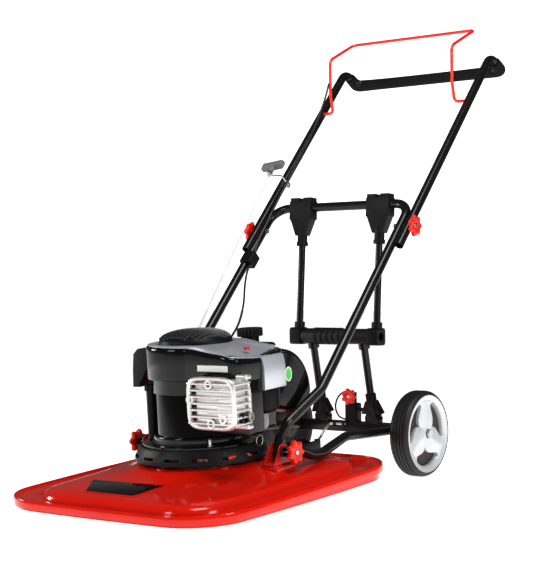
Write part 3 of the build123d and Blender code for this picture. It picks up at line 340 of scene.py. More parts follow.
deck_red = finish("deck_red", (0.66, 0.011, 0.002), 0.15, coat=0.08, grain=160, depth=0.02,
                  mottle=0.04, spec=0.35)
deck_half_x, deck_half_y, deck_corner, deck_bulge = 300.8, 353.8, 112, 10
dome_half_x, dome_nose, dome_front, dome_rear, dome_corner = 262, 200, -338, 258, 90


def deck_ring(inset, height):
    """Plan of the whole deck's edge, drawn in by the inset."""
    return rounded_ring(deck_half_x, -deck_half_y, deck_half_y, deck_corner, height, deck_bulge, inset)


def dome_ring(inset, height):
    """Plan of the dome, a rounded rectangle with its front right corner cut back."""
    half_x = dome_half_x - inset
    half_y = (dome_rear - dome_front) / 2 - inset
    middle = (dome_front + dome_rear) / 2
    corner = max(least_corner, dome_corner - inset)
    slope = (dome_half_x - dome_nose) / (dome_rear - dome_front)

    def outside(x, y):
        edge = half_x if x > 0 else half_x - slope * (dome_rear - y)
        return beyond(abs(x) - edge, abs(y - middle) - half_y, corner)

    return plan_ring(outside, height, ring_points)


def skirt_foot(x, y):
    """Height of the skirt's lower edge, which touches the ground in front and rises to the rear."""
    front, middle_height, clearance = 345.0, 40, 0.2
    fall = (y + front) * math.sin(math.radians(-1))
    return -(middle_height - front * math.sin(tilt)) / math.cos(tilt) + fall + clearance


deck_skin = loft([
    circle_ring(112, 46.5), circle_ring(113.5, 48), circle_ring(134, 48), circle_ring(139, 47),
    circle_ring(144, 43.5), circle_ring(152, 38.5), circle_ring(166, 33.5), circle_ring(186, 30),
    circle_ring(208, 27.6),
    dome_ring(44, 25.4), dome_ring(26, 23.8), dome_ring(15, 21.6), dome_ring(8, 18.4),
    dome_ring(3.4, 13.6), dome_ring(1.4, 9), dome_ring(0.2, 5.4), dome_ring(-0.8, 3.8),
    dome_ring(-2.6, 3),
    deck_ring(9, 3), deck_ring(6.5, 3.6), deck_ring(5.2, 5.4), deck_ring(4.4, 7.4), deck_ring(3, 8),
    deck_ring(0.9, 7.6), deck_ring(0, 6.4), deck_ring(0.4, -9.6), deck_ring(0.9, -10.6),
    deck_ring(1.9, -10.8), deck_ring(2.8, -10), deck_ring(3, -2), deck_ring(4.4, -0.4),
    deck_ring(8, -0.2), deck_ring(9, -1.5), deck_ring(9, skirt_foot), deck_ring(12, skirt_foot),
    deck_ring(12, 0),
    dome_ring(3, 0), dome_ring(3, 10), dome_ring(10, 17), dome_ring(40, 20.5),
    circle_ring(206, 24), circle_ring(166, 30), circle_ring(146, 38), circle_ring(134, 45),
    circle_ring(112, 45),
], closed=True)
deck_skin.matrix_world = deck_frame
settle(deck_skin, "deck_moulding", deck_red, "root", ["deck_shell"], smooth=42)


# ---- deck bosses, bracket pads and rubber pad ---------------------------------------------------
# Six round bosses carry the air intake ring, and two flat pads carry the handle brackets. They
# belong to the same red moulding. A small black rubber pad sits in the gutter behind the dome.
def add_cylinder(radius, low, high, x=0.0, y=0.0, sides=40, top_bevel=0.0):
    """A round post between two heights of the deck's frame, in millimetres, its top edge rounded."""
    bpy.ops.object.select_all(action="DESELECT")
    bpy.ops.mesh.primitive_cylinder_add(vertices=sides, radius=radius, depth=high - low,
                                        location=(x, y, (low + high) / 2))
    piece = bpy.context.object
    bpy.ops.object.transform_apply(location=True, rotation=True, scale=True)
    if top_bevel:
        bpy.ops.object.mode_set(mode="EDIT")
        bpy.ops.mesh.select_all(action="DESELECT")
        bpy.ops.object.mode_set(mode="OBJECT")
        for edge in piece.data.edges:
            edge.select = all(abs(piece.data.vertices[i].co.z - high) < 1e-3 for i in edge.vertices)
        bpy.ops.object.mode_set(mode="EDIT")
        bpy.ops.mesh.select_mode(type="EDGE")
        bpy.ops.mesh.bevel(offset=top_bevel, segments=3, affect="EDGES")
        bpy.ops.object.mode_set(mode="OBJECT")
    piece.matrix_world = deck_frame
    return piece


def add_block(low, high, bevel, segments=3):
    """A block between two corners, in millimetres, with all its edges rounded."""
    bpy.ops.object.select_all(action="DESELECT")
    size = [b - a for a, b in zip(low, high)]
    middle = [(a + b) / 2 for a, b in zip(low, high)]
    bpy.ops.mesh.primitive_cube_add(size=1, location=middle, scale=size)
    piece = bpy.context.object
    bpy.ops.object.transform_apply(location=True, rotation=True, scale=True)
    bpy.ops.object.mode_set(mode="EDIT")
    bpy.ops.mesh.select_all(action="SELECT")
    bpy.ops.mesh.bevel(offset=bevel, segments=segments, affect="EDGES")
    bpy.ops.object.mode_set(mode="OBJECT")
    piece.matrix_world = deck_frame
    return piece


def together(pieces):
    """Join several meshes into the first one, in the machine's own place."""
    for piece in pieces:
        only(piece)
        bpy.ops.object.transform_apply(location=True, rotation=True, scale=True)
    only(*pieces)
    bpy.ops.object.join()
    return pieces[0]


bosses = []
for k in range(6):
    turn = math.radians(30 + 60 * k)
    x, y = 132 * math.cos(turn), 132 * math.sin(turn)
    bosses.append(add_cylinder(11, 36, 50, x, y, top_bevel=2))
    bosses.append(add_cylinder(8, 49, 57.5, x * 124 / 132, y * 124 / 132, top_bevel=1))
for x in (-177, 177):
    bosses.append(add_block((x - 23, 5, 16), (x + 23, 71, 42), 5, 4))
settle(together(bosses), "deck_bosses", deck_red, "root")

rubber = finish("rubber", (0.008, 0.008, 0.009), 0.7, grain=900, depth=0.25, mottle=0.2, spec=0.3)
settle(add_block((120, 263, 2.8), (160, 297, 12), 2.5), "gutter_pad", rubber, "root")


# ---- badge --------------------------------------------------------------------------------------
# A blank black plate shaped as a parallelogram sits in a shallow raised frame on the dome's front
# slope. It is a thin printed plastic sheet, glued in.
gloss_black = finish("gloss_black", (0.004, 0.004, 0.0045), 0.1, coat=0.1, grain=260, depth=0.02,
                     mottle=0.15, uneven=0.04, spec=0.3)


def slope_plate(corners, thickness, bevel):
    """A thin plate with four corners on the dome's front slope, following its rise."""
    bpy.ops.object.select_all(action="DESELECT")
    bpy.ops.mesh.primitive_plane_add(size=1)
    piece = bpy.context.object
    for vertex, corner in zip(piece.data.vertices, corners):
        vertex.co = corner
    bpy.ops.object.mode_set(mode="EDIT")
    bpy.ops.mesh.select_all(action="SELECT")
    bpy.ops.mesh.extrude_region_move(TRANSFORM_OT_translate={"value": (0, 0, thickness)})
    bpy.ops.mesh.select_all(action="SELECT")
    bpy.ops.mesh.normals_make_consistent(inside=False)
    bpy.ops.mesh.bevel(offset=bevel, segments=2, affect="EDGES")
    bpy.ops.object.mode_set(mode="OBJECT")
    piece.matrix_world = deck_frame
    return piece


frame_corners = [(-74, -300, 23.4), (68, -300, 23.4), (-140, -201, 25.6), (70, -193, 26.6)]
settle(slope_plate(frame_corners, 3.2, 1.2), "badge_frame", deck_red, "root")
badge_corners = [(-67, -294, 25.0), (62, -294, 25.0), (-128, -207, 27.2), (62, -200, 28.2)]
settle(slope_plate(badge_corners, 2.4, 0.5), "badge", gloss_black, "root")


# ---- air intake ring ----------------------------------------------------------------------------
# A dark grey moulded ring of two stepped bands, with slots that let air down to the impeller. Its
# top is a lofted skin with 24 slots pressed into the slope round the engine.
ring_grey = finish("ring_grey", (0.012, 0.0125, 0.0135), 0.45, grain=700, depth=0.22, mottle=0.15,
                   edge=0.08, spec=0.25)


def round_edges(piece, width, segments, least_angle=30):
    """Round every edge sharper than an angle, given in degrees."""
    only(piece)
    bevel = piece.modifiers.new("bevel", "BEVEL")
    bevel.width = width
    bevel.segments = segments
    bevel.angle_limit = math.radians(least_angle)
    bpy.ops.object.modifier_apply(modifier="bevel")


def soften(name, width, material, segments=3, flat=1.0):
    """Stand in for a CAD node with the same shape, its sharp edges rounded as moulding rounds them."""
    source = nodes[name]
    copy = source.copy()
    copy.data = source.data.copy()
    copy.parent = None
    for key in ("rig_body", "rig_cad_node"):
        if key in copy:
            del copy[key]
    bpy.context.scene.collection.objects.link(copy)
    only(copy)
    bpy.ops.object.mode_set(mode="EDIT")
    bpy.ops.mesh.select_all(action="SELECT")
    bpy.ops.mesh.remove_doubles(threshold=0.00002)
    bpy.ops.mesh.dissolve_limited(angle_limit=math.radians(flat))
    bpy.ops.mesh.normals_make_consistent(inside=False)
    bpy.ops.object.mode_set(mode="OBJECT")
    round_edges(copy, width, segments, 32)
    settle(copy, name + "_finished", material, source["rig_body"], [name], 40)


soften("intake_ring", 0.0009, ring_grey)
slot_pitch, slot_width = 15, 11
intake_top = loft([
    circle_ring(radius, height, 144)
    for radius, height in (
        (132.8, 80), (132.8, 84.6), (131.5, 86), (128, 86.8), (110, 91), (103, 93), (101, 96), (97, 96.5),
    )
])
only(intake_top)
bpy.ops.object.mode_set(mode="EDIT")
bpy.ops.mesh.select_mode(type="FACE")
bpy.ops.mesh.select_all(action="DESELECT")
bpy.ops.object.mode_set(mode="OBJECT")
for face in intake_top.data.polygons:
    reach = math.hypot(face.center.x, face.center.y)
    turn = math.degrees(math.atan2(face.center.y, face.center.x)) % slot_pitch
    face.select = 112 < reach < 126 and turn < slot_width
bpy.ops.object.mode_set(mode="EDIT")
bpy.ops.mesh.inset(thickness=2.2, use_even_offset=False)
bpy.ops.transform.translate(value=(0, 0, -3.5))
bpy.ops.object.mode_set(mode="OBJECT")
intake_top.matrix_world = deck_frame
settle(intake_top, "intake_top", ring_grey, "root")


# ---- pivot brackets, bolts and retaining clip ---------------------------------------------------
# Red painted steel brackets are folded from 3 mm plate and stand on the deck's pads. Zinc plated
# bolts run through them, and a wire ring clip hangs on the left one.
bracket_red = finish("bracket_red", (0.60, 0.015, 0.008), 0.28, coat=0.3, grain=500, depth=0.06,
                     edge=0.15)
zinc = finish("zinc", (0.62, 0.62, 0.60), 0.28, metallic=1, grain=600, depth=0.08, mottle=0.1, uneven=0.1)
soften("pivot_brackets", 0.0007, bracket_red)
paint(zinc, "pivot_bolts", "axle_bolts", "rope_guide", "blade_bolt", "crankshaft", "crank_bearings")

bpy.ops.object.select_all(action="DESELECT")
bpy.ops.mesh.primitive_torus_add(major_radius=0.011, minor_radius=0.001, major_segments=48,
                                 minor_segments=10, location=(0.140, -0.296, 0.132),
                                 rotation=(0, math.radians(90), 0))
settle(bpy.context.object, "ring_clip", zinc, "root")


# ---- star knobs ---------------------------------------------------------------------------------
# Seven-lobed hand knobs moulded in red plastic, each with a recess round a plated steel insert.
knob_red = finish("knob_red", (0.78, 0.016, 0.004), 0.3, coat=0.15, grain=500, depth=0.1, mottle=0.05)


def star_knob(name, place, axis, radius, width, node):
    """One knob with its face along axis: rings pulled out into lobes, a dished face and a metal insert."""
    lobes, knob_points, insert_points = 7, 112, 24
    profile = (
        (0.30, -0.5), (0.72, -0.5), (0.90, -0.44), (0.98, -0.30), (1.0, -0.1), (1.0, 0.14), (0.97, 0.32),
        (0.90, 0.44), (0.80, 0.5), (0.62, 0.5), (0.56, 0.44), (0.30, 0.40), (0.27, 0.34), (0.26, 0.05),
    )
    rings = []
    for reach, level in profile:
        ring = []
        for k in range(knob_points):
            turn = 2 * math.pi * k / knob_points
            lobe = 0.88 + 0.12 * math.cos(lobes * turn) if reach > 0.6 else 0.9
            out = radius * reach * lobe
            ring.append((out * math.cos(turn), out * math.sin(turn), level * width))
        rings.append(ring)
    piece = loft(rings, capped=True)
    turned = Matrix.Translation(place) @ Vector(axis).to_track_quat("Z", "Y").to_matrix().to_4x4()
    piece.matrix_world = turned
    settle(piece, name, knob_red, node, [node], smooth=38)
    insert = loft([
        circle_ring(radius * reach, level * width, insert_points)
        for reach, level in ((0.2, 0.1), (0.2, 0.36), (0.16, 0.42), (0.08, 0.42), (0.07, 0.3))
    ], capped=True)
    insert.matrix_world = turned
    settle(insert, name + "_insert", zinc, node)


for side_name, side in (("left", 1), ("right", -1)):
    for place, radius in (("deck", 0.0272), ("mid", 0.0262)):
        node = f"{place}_knob_{side_name}"
        low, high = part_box(node)
        width = (high - low).x - 0.002
        star_knob(f"{place}_star_{side_name}", (low + high) / 2, (side, 0, 0), radius, width, node)
low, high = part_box("latch_knob")
star_knob("latch_star", (low + high) / 2, (0, -1, 0), 0.0208, 0.0128, "latch_knob")


# ---- engine base, crankcase and cylinder shroud -------------------------------------------------
# The engine's lower half is a black painted casting and a glossy black shroud round the cylinder.
soften("crankcase", 0.0016, gloss_black, flat=0.5)
cast_metal = finish("cast_metal", (0.55, 0.56, 0.57), 0.42, metallic=0.85, grain=1100, depth=0.3,
                    mottle=0.12)
paint(cast_metal, "cylinder", "piston", "carburettor", "flywheel")
plug_black = finish("plug_black", (0.02, 0.02, 0.02), 0.4, grain=600, depth=0.1)
paint(plug_black, "spark_plug")
muffler_metal = finish("muffler_metal", (0.42, 0.40, 0.38), 0.45, metallic=0.9, grain=800, depth=0.25,
                       mottle=0.2)
paint(muffler_metal, "muffler")

shroud_parts = [
    add_block((92, -58, 112), (176, 4, 234), 7, 4),
    add_block((92, -40, 112), (146, 88, 234), 9, 4),
    add_cylinder(101, 96, 108, sides=96, top_bevel=4),
    add_cylinder(97, 198, 231, sides=96),
]
settle(together(shroud_parts), "cylinder_shroud", gloss_black, "root", smooth=40)

base_bolts = []
for x, y in ((-112, -22), (86, -74), (-96, 56), (70, 88)):
    base_bolts.append(add_cylinder(6, 88, 94, x, y, sides=6, top_bevel=1.2))
    base_bolts.append(add_cylinder(3.2, 93, 106, x, y, sides=20, top_bevel=0.8))
settle(together(base_bolts), "base_bolts", zinc, "root")


# ---- muffler guard ------------------------------------------------------------------------------
# A die cast aluminium cage stands in front of the muffler, with cooling ribs across its face, slots
# down its inner edge and windows in its side. Its skin is bright, with a fine sandy grain.
guard_silver = finish("guard_silver", (0.74, 0.74, 0.73), 0.34, metallic=0.75, grain=900, depth=0.3,
                      mottle=0.12, edge=0.3)
guard_low, guard_high = 133, 246
guard_x, guard_h = 135, 189.5
cage = [
    add_block((88, -118, 142), (190, -66, 238), 6),
    add_block((70, -86, guard_low), (200, -66, 143), 4),
    add_block((70, -86, 236), (200, -66, guard_high), 4),
]
outline = []
for k in range(64):
    turn = 2 * math.pi * k / 64
    reach = 1 / (abs(math.cos(turn)) ** 5 + abs(math.sin(turn)) ** 5) ** 0.2
    outline.append((59 * reach * math.cos(turn), 51 * reach * math.sin(turn)))
for face_y, thick in ((-122, 5), (-72, 4)):
    rings = []
    for j in range(12):
        turn = 2 * math.pi * j / 12
        wider = 1 + thick * math.cos(turn) / 55
        y = face_y + thick * math.sin(turn)
        rings.append([(guard_x + x * wider, y, guard_h + h * wider) for x, h in outline])
    hoop = loft(rings, closed=True)
    hoop.matrix_world = deck_frame
    cage.append(hoop)
for k in range(7):
    level = guard_low + 14.5 + k * 13.7
    cage.append(add_block((74, -126, level - 2.6), (194, -118, level + 2.6), 2.2))
    cage.append(add_block((190, -124, level - 2.4), (199.6, -70, level + 2.4), 2))
    cage.append(add_block((70.6, -124, level - 2.4), (78, -70, level + 2.4), 2))
for x0, h0, x1, h1 in (
    (104, 196, 150, 205), (120, 168, 176, 176), (150, 150, 188, 190), (104, 212, 186, 222),
):
    cage.append(add_block((x0, -122.5, h0), (x1, -108, h1), 3))
boss_profile = (10, -116), (10, -125.5), (9, -127), (6, -127), (5, -126), (5, -118)
for x, level in (
    (131, guard_high - 17), (80, 196), (134, guard_low + 15), (166, guard_low + 26),
):
    boss = loft([
        [(x + ring_x, y, level + ring_y) for ring_x, ring_y, _ in circle_ring(radius, 0, 32)]
        for radius, y in boss_profile
    ], capped=True)
    boss.matrix_world = deck_frame
    cage.append(boss)
settle(together(cage), "guard_cage", guard_silver, "root", ["muffler_guard"], smooth=40)
outlet = loft([
    [(x, ring_x - 93, ring_y + 158) for ring_x, ring_y, _ in circle_ring(radius, 0, 32)]
    for radius, x in ((11, 186), (11, 199), (10, 200), (7.5, 200), (7, 190))
], capped=True)
outlet.matrix_world = deck_frame
settle(outlet, "muffler_outlet", gloss_black, "root")


# ---- blower housing and silver cowl -------------------------------------------------------------
# A glossy black moulding wraps the flywheel. Over it sits a silver painted cowl, a thin rim on the
# left that widens to the right and turns down the engine's side.
cowl_silver = finish("cowl_silver", (0.60, 0.62, 0.66), 0.34, metallic=0.55, coat=0.3, grain=1500,
                     depth=0.06, mottle=0.05, uneven=0.05)


def housing_ring(inset, height):
    """Plan of the housing: the larger of a circle about the flywheel and a rounded block beside it."""
    points = []
    for k, (x, y, _) in enumerate(rounded_ring(178, -97, 96, 26, 0, inset=inset)):
        turn = 2 * math.pi * k / ring_points
        reach = max(math.hypot(x, y) if x > -40 else 0, 108 - inset)
        x, y = reach * math.cos(turn), reach * math.sin(turn)
        points.append((x, y, height(x, y) if callable(height) else height))
    return points


def ease(value, low, high):
    """Rise smoothly from 0 to 1 as the value goes from low to high."""
    share = min(1, max(0, (value - low) / (high - low)))
    return share * share * (3 - 2 * share)


def seam(x, y):
    """Height where the black moulding gives way to the silver cowl."""
    front_fall = 2 * ease(x, -60, 60) + 11 * ease(x, 40, 140) + 8 * ease(x, 130, 178)
    return 300.5 - front_fall - 8 * ease(x, 150, 178) * ease(y, -97, 0)


def cowl_top(x):
    """Height of the cowl's top, which falls towards the right of the engine."""
    return 303 - 10 * ease(x, 60, 130) - 20 * ease(x, 120, 180)


def above_seam(rise):
    return lambda x, y: seam(x, y) + rise


def below_top(drop):
    return lambda x, y: cowl_top(x) - drop


black_housing = loft([
    housing_ring(3, 236), housing_ring(3, 230), housing_ring(1, 229), housing_ring(0, 231),
    housing_ring(0, 262), housing_ring(0, above_seam(-7)), housing_ring(0.8, above_seam(-3.4)),
    housing_ring(3, above_seam(-1)), housing_ring(6, above_seam(0)),
], capped=True)
black_housing.matrix_world = deck_frame
bracket_arm = add_block((-99, 96, 229), (-73, 119, 232.5), 1)
bracket_lip = add_block((-99, 116, 229), (-73, 119.5, 252), 1)
settle(together([black_housing, bracket_arm, bracket_lip]), "housing_skin", gloss_black, "root",
       ["blower_housing"], smooth=40)

silver_cowl = loft([
    housing_ring(7, above_seam(-1)), housing_ring(4.4, above_seam(0)), housing_ring(4, above_seam(0.9)),
    housing_ring(4.6, above_seam(1.8)), housing_ring(6, below_top(1.4)), housing_ring(10, below_top(0.4)),
    housing_ring(16, below_top(0)), housing_ring(22, below_top(0)),
    circle_ring(84, 302), circle_ring(82, 301.6), circle_ring(81, 298), circle_ring(60, 296),
], capped=True)
silver_cowl.matrix_world = deck_frame
apron = loft([
    [(x0, 36 - half, h0), (x0, 36 + half, h0), (x1, 36 + half, h1), (x1, 36 - half, h1)]
    for x0, x1, half, h0, h1 in (
        (174, 182, 38, 203, 203), (174, 183.6, 38, 206, 206), (174, 183.4, 37.24, 250, 250),
        (170, 179, 38, 274, 272),
    )
], capped=True)
apron.matrix_world = deck_frame
round_edges(apron, 0.0022, 3)
settle(together([silver_cowl, apron]), "cowl_skin", cowl_silver, "root", ["top_cowl"],
       smooth=40)

label_white = finish("label_white", (0.78, 0.78, 0.76), 0.35, grain=300, depth=0.02, mottle=0.03)
settle(add_block((82, -98.2, 252), (162, -96.6, 265), 0.5), "blank_label", label_white, "root")
emblem_red = finish("emblem_red", (0.6, 0.03, 0.03), 0.3, grain=300, depth=0.02)
settle(add_cylinder(7, 290, 294.6, 150, -14, top_bevel=0.8), "cowl_button", emblem_red, "root")

snout = loft([
    [(x0, half - 7, h0), (x0, -half - 7, h0), (x1, -half - 7, h1), (x1, half - 7, h1)]
    for x0, x1, half, h0, h1 in (
        (-106, -106, 27, 286, 256), (-120, -120, 27, 290, 240), (-140, -128, 26, 288, 226),
        (-154, -135, 25, 276, 218), (-158, -139, 25, 240, 212), (-159.5, -141, 25, 203, 203),
    )
], capped=True)
snout.matrix_world = deck_frame
round_edges(snout, 0.004, 4)
moulded_black = finish("moulded_black", (0.007, 0.007, 0.0075), 0.4, grain=800, depth=0.2, mottle=0.15,
                       edge=0.04, spec=0.16)
settle(snout, "air_snout", moulded_black, "root")


# ---- recoil starter cover -----------------------------------------------------------------------
# A black domed moulding over the recoil starter, with curved louvres pressed out of its crown.
cover_radius, cover_rise = 80, 25.5
louvre_reach = 77


def dome_height(radius):
    """Height of the domed cover above a place this far from its middle."""
    share = min(1, radius / cover_radius)
    return 303 + cover_rise * math.sqrt(max(0, 1 - share ** 2.6))


dome = loft(
    [circle_ring(cover_radius, 294, 96), circle_ring(cover_radius, 301, 96)]
    + [circle_ring(r, dome_height(r), 96) for r in (79, 76, 71, 64, 55, 44, 30, 16, 4)],
    capped=True,
)
dome.matrix_world = deck_frame
louvres = []
for k in range(15):
    middle_x = -58 + 9.2 * k
    blade = []
    for step in range(13):
        along = -70 + 140 * step / 12
        x = middle_x + 0.34 * along + 0.0016 * along * along
        reach = math.hypot(x, along)
        if reach > louvre_reach:
            continue
        top, low = dome_height(reach) + 3.4, dome_height(reach) - 2
        blade.append([
            (x - 2.2, along, low), (x + 2.2, along, low), (x + 1.0, along, top), (x - 2.2, along, top - 0.8),
        ])
    if len(blade) > 2:
        louvre = loft(blade, capped=True)
        louvre.matrix_world = deck_frame
        louvres.append(louvre)
settle(dome, "starter_dome", moulded_black, "root", ["starter_cover"], smooth=40)
# The louvres get a lighter, glossier black than the dome they are pressed from. The lighter colour is a
# painted highlight, so that their crests read as lit stripes.
louvre_painted_highlight = finish("louvre_painted_highlight", (0.016, 0.016, 0.017), 0.24, grain=700, depth=0.08, mottle=0.1,
                      spec=0.6)
settle(together(louvres), "starter_louvres", louvre_painted_highlight, "root", smooth=30)


# ---- fuel tank and cap --------------------------------------------------------------------------
# The tank is blow moulded black plastic behind the engine. Its screw cap has 24 flutes round the
# rim for the fingers.
soften("fuel_tank", 0.003, moulded_black, flat=0.5)
cap_x, cap_y = 39, 143
flutes, flute_depth = 24, 1.6
cap = add_cylinder(29, 301, 319, cap_x, cap_y, sides=72, top_bevel=3)
for vertex in cap.data.vertices:
    turn = math.atan2(vertex.co.y - cap_y, vertex.co.x - cap_x)
    reach = math.hypot(vertex.co.x - cap_x, vertex.co.y - cap_y)
    if reach > 25 and math.cos(flutes * turn) < 0:
        vertex.co.x = cap_x + (reach - flute_depth) * math.cos(turn)
        vertex.co.y = cap_y + (reach - flute_depth) * math.sin(turn)
settle(cap, "fuel_cap_knurled", moulded_black, "fuel_cap", ["fuel_cap"], smooth=30)
paint(moulded_black, "oil_filler")


# ---- air cleaner and carburettor cover ----------------------------------------------------------
# A drum-shaped glossy black cover with raised ribs round it, and a smaller satin cover in front. An
# oval green and white sticker without lettering is stuck on the larger one.
soften("air_cleaner_cover", 0.004, gloss_black, segments=4, flat=0.5)
settle(add_block((136, 4, 150), (177.5, 58, 210), 14, 5), "carburettor_lid", moulded_black, "root",
       ["carburettor_cover"])
filter_paper = finish("filter_paper", (0.6, 0.52, 0.36), 0.9, grain=300, depth=0.4)
paint(filter_paper, "filter_element")

drum_radius = 90.6
cleaner_arcs = []
for start_x in (132, 146, 160):
    band = []
    for k in range(25):
        share = k / 24
        turn = math.radians(96 - 116 * share)
        out_y, out_h = math.cos(turn), math.sin(turn)
        y = 86 + drum_radius * out_y * (0.62 + 0.38 * share)
        h = 190 + drum_radius * out_h * (1 - 0.08 * share)
        band.append([
            (start_x + across, y + out_y * rise, h + out_h * rise)
            for across, rise in ((-2.4, -3), (2.4, -3), (1.6, 1.2), (-1.6, 1.2))
        ])
    arc = loft(band, capped=True)
    arc.matrix_world = deck_frame
    cleaner_arcs.append(arc)
settle(together(cleaner_arcs), "cleaner_ribs", gloss_black, "root", smooth=60)

sticker_green = finish("sticker_green", (0.10, 0.55, 0.10), 0.3, grain=300, depth=0.02, mottle=0.03)
for name, half_y, half_h, lift, material in (
    ("sticker_rim", 12, 16, 0.5, label_white), ("sticker_face", 9, 13, 0.9, sticker_green),
):
    oval = add_cylinder(1, 0, 1, sides=48)
    oval.matrix_world = (
        deck_frame @ Matrix.Translation((177, 92, 226)) @ Matrix.Rotation(math.radians(90), 4, "Y")
        @ Matrix.Diagonal((half_h, half_y, lift, 1))
    )
    settle(oval, name, material, "root")


# ---- impeller and blade -------------------------------------------------------------------------
# Both turn on the crankshaft under the deck. The impeller is moulded in grey plastic, and the blade
# is black painted steel, worn bright along its edges.
impeller_grey = finish("impeller_grey", (0.16, 0.16, 0.17), 0.5, grain=500, depth=0.15)
paint(impeller_grey, "hover_impeller")
blade_black = finish("blade_black", (0.03, 0.03, 0.032), 0.4, metallic=0.3, grain=500, depth=0.15, edge=0.4)
paint(blade_black, "cutter_blade")


# ---- handles, arms and carriage frame -----------------------------------------------------------
# Round steel tube, bent and powder coated satin black. The beam is square tube.
frame_black = finish("frame_black", (0.006, 0.006, 0.0065), 0.24, grain=900, depth=0.05,
                     mottle=0.15, uneven=0.06, spec=0.4)
round_tubes = "lower_handle", "upper_handle", "swing_arms", "posts", "struts", "lift_core"


def smooth_nodes(*names):
    """Shade these CAD nodes' round faces smooth."""
    for name in names:
        only(nodes[name])
        bpy.ops.object.shade_smooth_by_angle(angle=math.radians(40))


paint(frame_black, *round_tubes)
smooth_nodes(*round_tubes)
soften("axle_beam", 0.001, frame_black)


# ---- moulded carriage parts ---------------------------------------------------------------------
# Clamps, feet, latch, clip and catch tray are satin black mouldings with rounded corners. Moulded
# sockets hold both ends of the two struts.
for name, width in (
    ("crossbar_clamps", 0.0022), ("lift_end_clamps", 0.002), ("post_feet", 0.0016), ("latch_block", 0.002),
    ("cable_clip", 0.002), ("catch_box", 0.0012),
):
    soften(name, width, moulded_black, flat=0.5)
strut_low, strut_high = Vector((0, 0.2105, 0.336)), Vector((0, 0.2327, 0.6575))
strut_up = (strut_high - strut_low).normalized()
strut_turn = strut_up.to_track_quat("Z", "Y").to_matrix().to_4x4()
sockets = []
for x in (-0.1145, 0.1145):
    for low, high, radius in ((232, 306, 12.5), (226, 236, 14.5), (262, 268, 14.2), (20, 34, 13)):
        socket = add_cylinder(radius, low, high, sides=32, top_bevel=1.5)
        foot = Matrix.Translation(strut_low + Vector((x, 0, 0)))
        socket.matrix_world = foot @ strut_turn @ Matrix.Scale(0.001, 4)
        sockets.append(socket)
settle(together(sockets), "strut_sockets", moulded_black, "handle")
grip_black = finish("grip_black", (0.007, 0.007, 0.0075), 0.5, grain=1200, depth=0.3, mottle=0.2, spec=0.3)
soften("lift_grip", 0.002, grip_black, flat=0.5)


# ---- foam grip ----------------------------------------------------------------------------------
# A soft black foam sleeve over the top bar. It is pushed on over the tube and swells where it goes
# round the bends.
foam_black = finish("foam_black", (0.007, 0.007, 0.007), 0.9, grain=700, depth=0.6, mottle=0.25, spec=0.25)


def swept(name, points, radius, sides=8, swell=None):
    """A round bar along a smooth curve through given control points, turned into a mesh."""
    curve = bpy.data.curves.new(name, "CURVE")
    curve.dimensions = "3D"
    curve.bevel_depth = radius
    curve.bevel_resolution = sides
    curve.resolution_u = 16
    curve.use_fill_caps = True
    spline = curve.splines.new("NURBS")
    spline.points.add(len(points) - 1)
    for k, point in enumerate(points):
        spline.points[k].co = (*point, 1)
        spline.points[k].radius = swell[k] if swell else 1.0
    spline.use_endpoint_u = True
    spline.order_u = 3
    holder = bpy.data.objects.new(name, curve)
    bpy.context.scene.collection.objects.link(holder)
    only(holder)
    bpy.ops.object.convert(target="MESH")
    return bpy.context.object


foam_points = [
    (0.225, 0.6195, 1.0382), (0.225, 0.636, 1.0294), (0.2245, 0.6535, 1.0202), (0.1995, 0.654, 1.0198),
    (0.165, 0.654, 1.0195), (0.09, 0.6535, 1.0190),
]
foam_points += [(-x, y, z) for x, y, z in reversed(foam_points)]
foam_swell = [0.98, 1.05, 1.08, 1.08, 1.02, 1.0]
foam_swell += foam_swell[::-1]
foam = swept("foam", foam_points, 0.0146, swell=foam_swell)
settle(foam, "foam_sleeve", foam_black, "upper_handle", ["foam_grip"], smooth=50)


# ---- bail, lock lever and latch loop ------------------------------------------------------------
# The bail is 8 mm steel rod, bent to shape and dipped in red plastic. The lock lever is bare wire,
# zinc plated, and the latch has a thin black wire loop beside it.
bail_red = finish("bail_red", (0.72, 0.012, 0.003), 0.3, coat=0.25, grain=500, depth=0.05, mottle=0.04)
paint(bail_red, "bail")
paint(zinc, "lock_lever")
smooth_nodes("bail", "lock_lever")
loop = swept("loop", [
    (0.004, 0.249, 0.128), (-0.014, 0.246, 0.129), (-0.026, 0.244, 0.142), (-0.030, 0.242, 0.162),
    (-0.020, 0.242, 0.186), (-0.002, 0.243, 0.198), (0.014, 0.246, 0.198), (0.020, 0.249, 0.188),
], 0.0021, sides=4)
settle(loop, "latch_wire", moulded_black, "handle")


# ---- wheels -------------------------------------------------------------------------------------
# Rubber tyre with four grooves round its tread, a silver three-spoke plastic face, twisted like a
# propeller, over a dark brown core.
tyre_rubber = finish("tyre_rubber", (0.010, 0.010, 0.0105), 0.55, grain=700, depth=0.25, mottle=0.2)
rim_silver = finish("rim_silver", (0.66, 0.67, 0.68), 0.33, metallic=0.35, coat=0.2, grain=1200,
                    depth=0.05, mottle=0.04)
core_brown = finish("core_brown", (0.045, 0.034, 0.032), 0.6, grain=600, depth=0.2)
axle_y, axle_z = 0.261, 0.103
outer_x = 0.228
rim_profile = (
    (0.0775, -0.014), (0.0782, -0.0075), (0.0800, -0.0042), (0.0835, -0.0030), (0.0885, -0.0014),
    (0.0925, -0.0006), (0.0935, -0.0022), (0.0935, -0.008), (0.0840, -0.008), (0.0840, -0.018),
    (0.0775, -0.018),
)
hub_profile = (0.013, -0.0120), (0.013, -0.0030), (0.0115, -0.0012), (0.008, -0.0006), (0.002, -0.0005)
spoke_count, spoke_steps = 3, 20
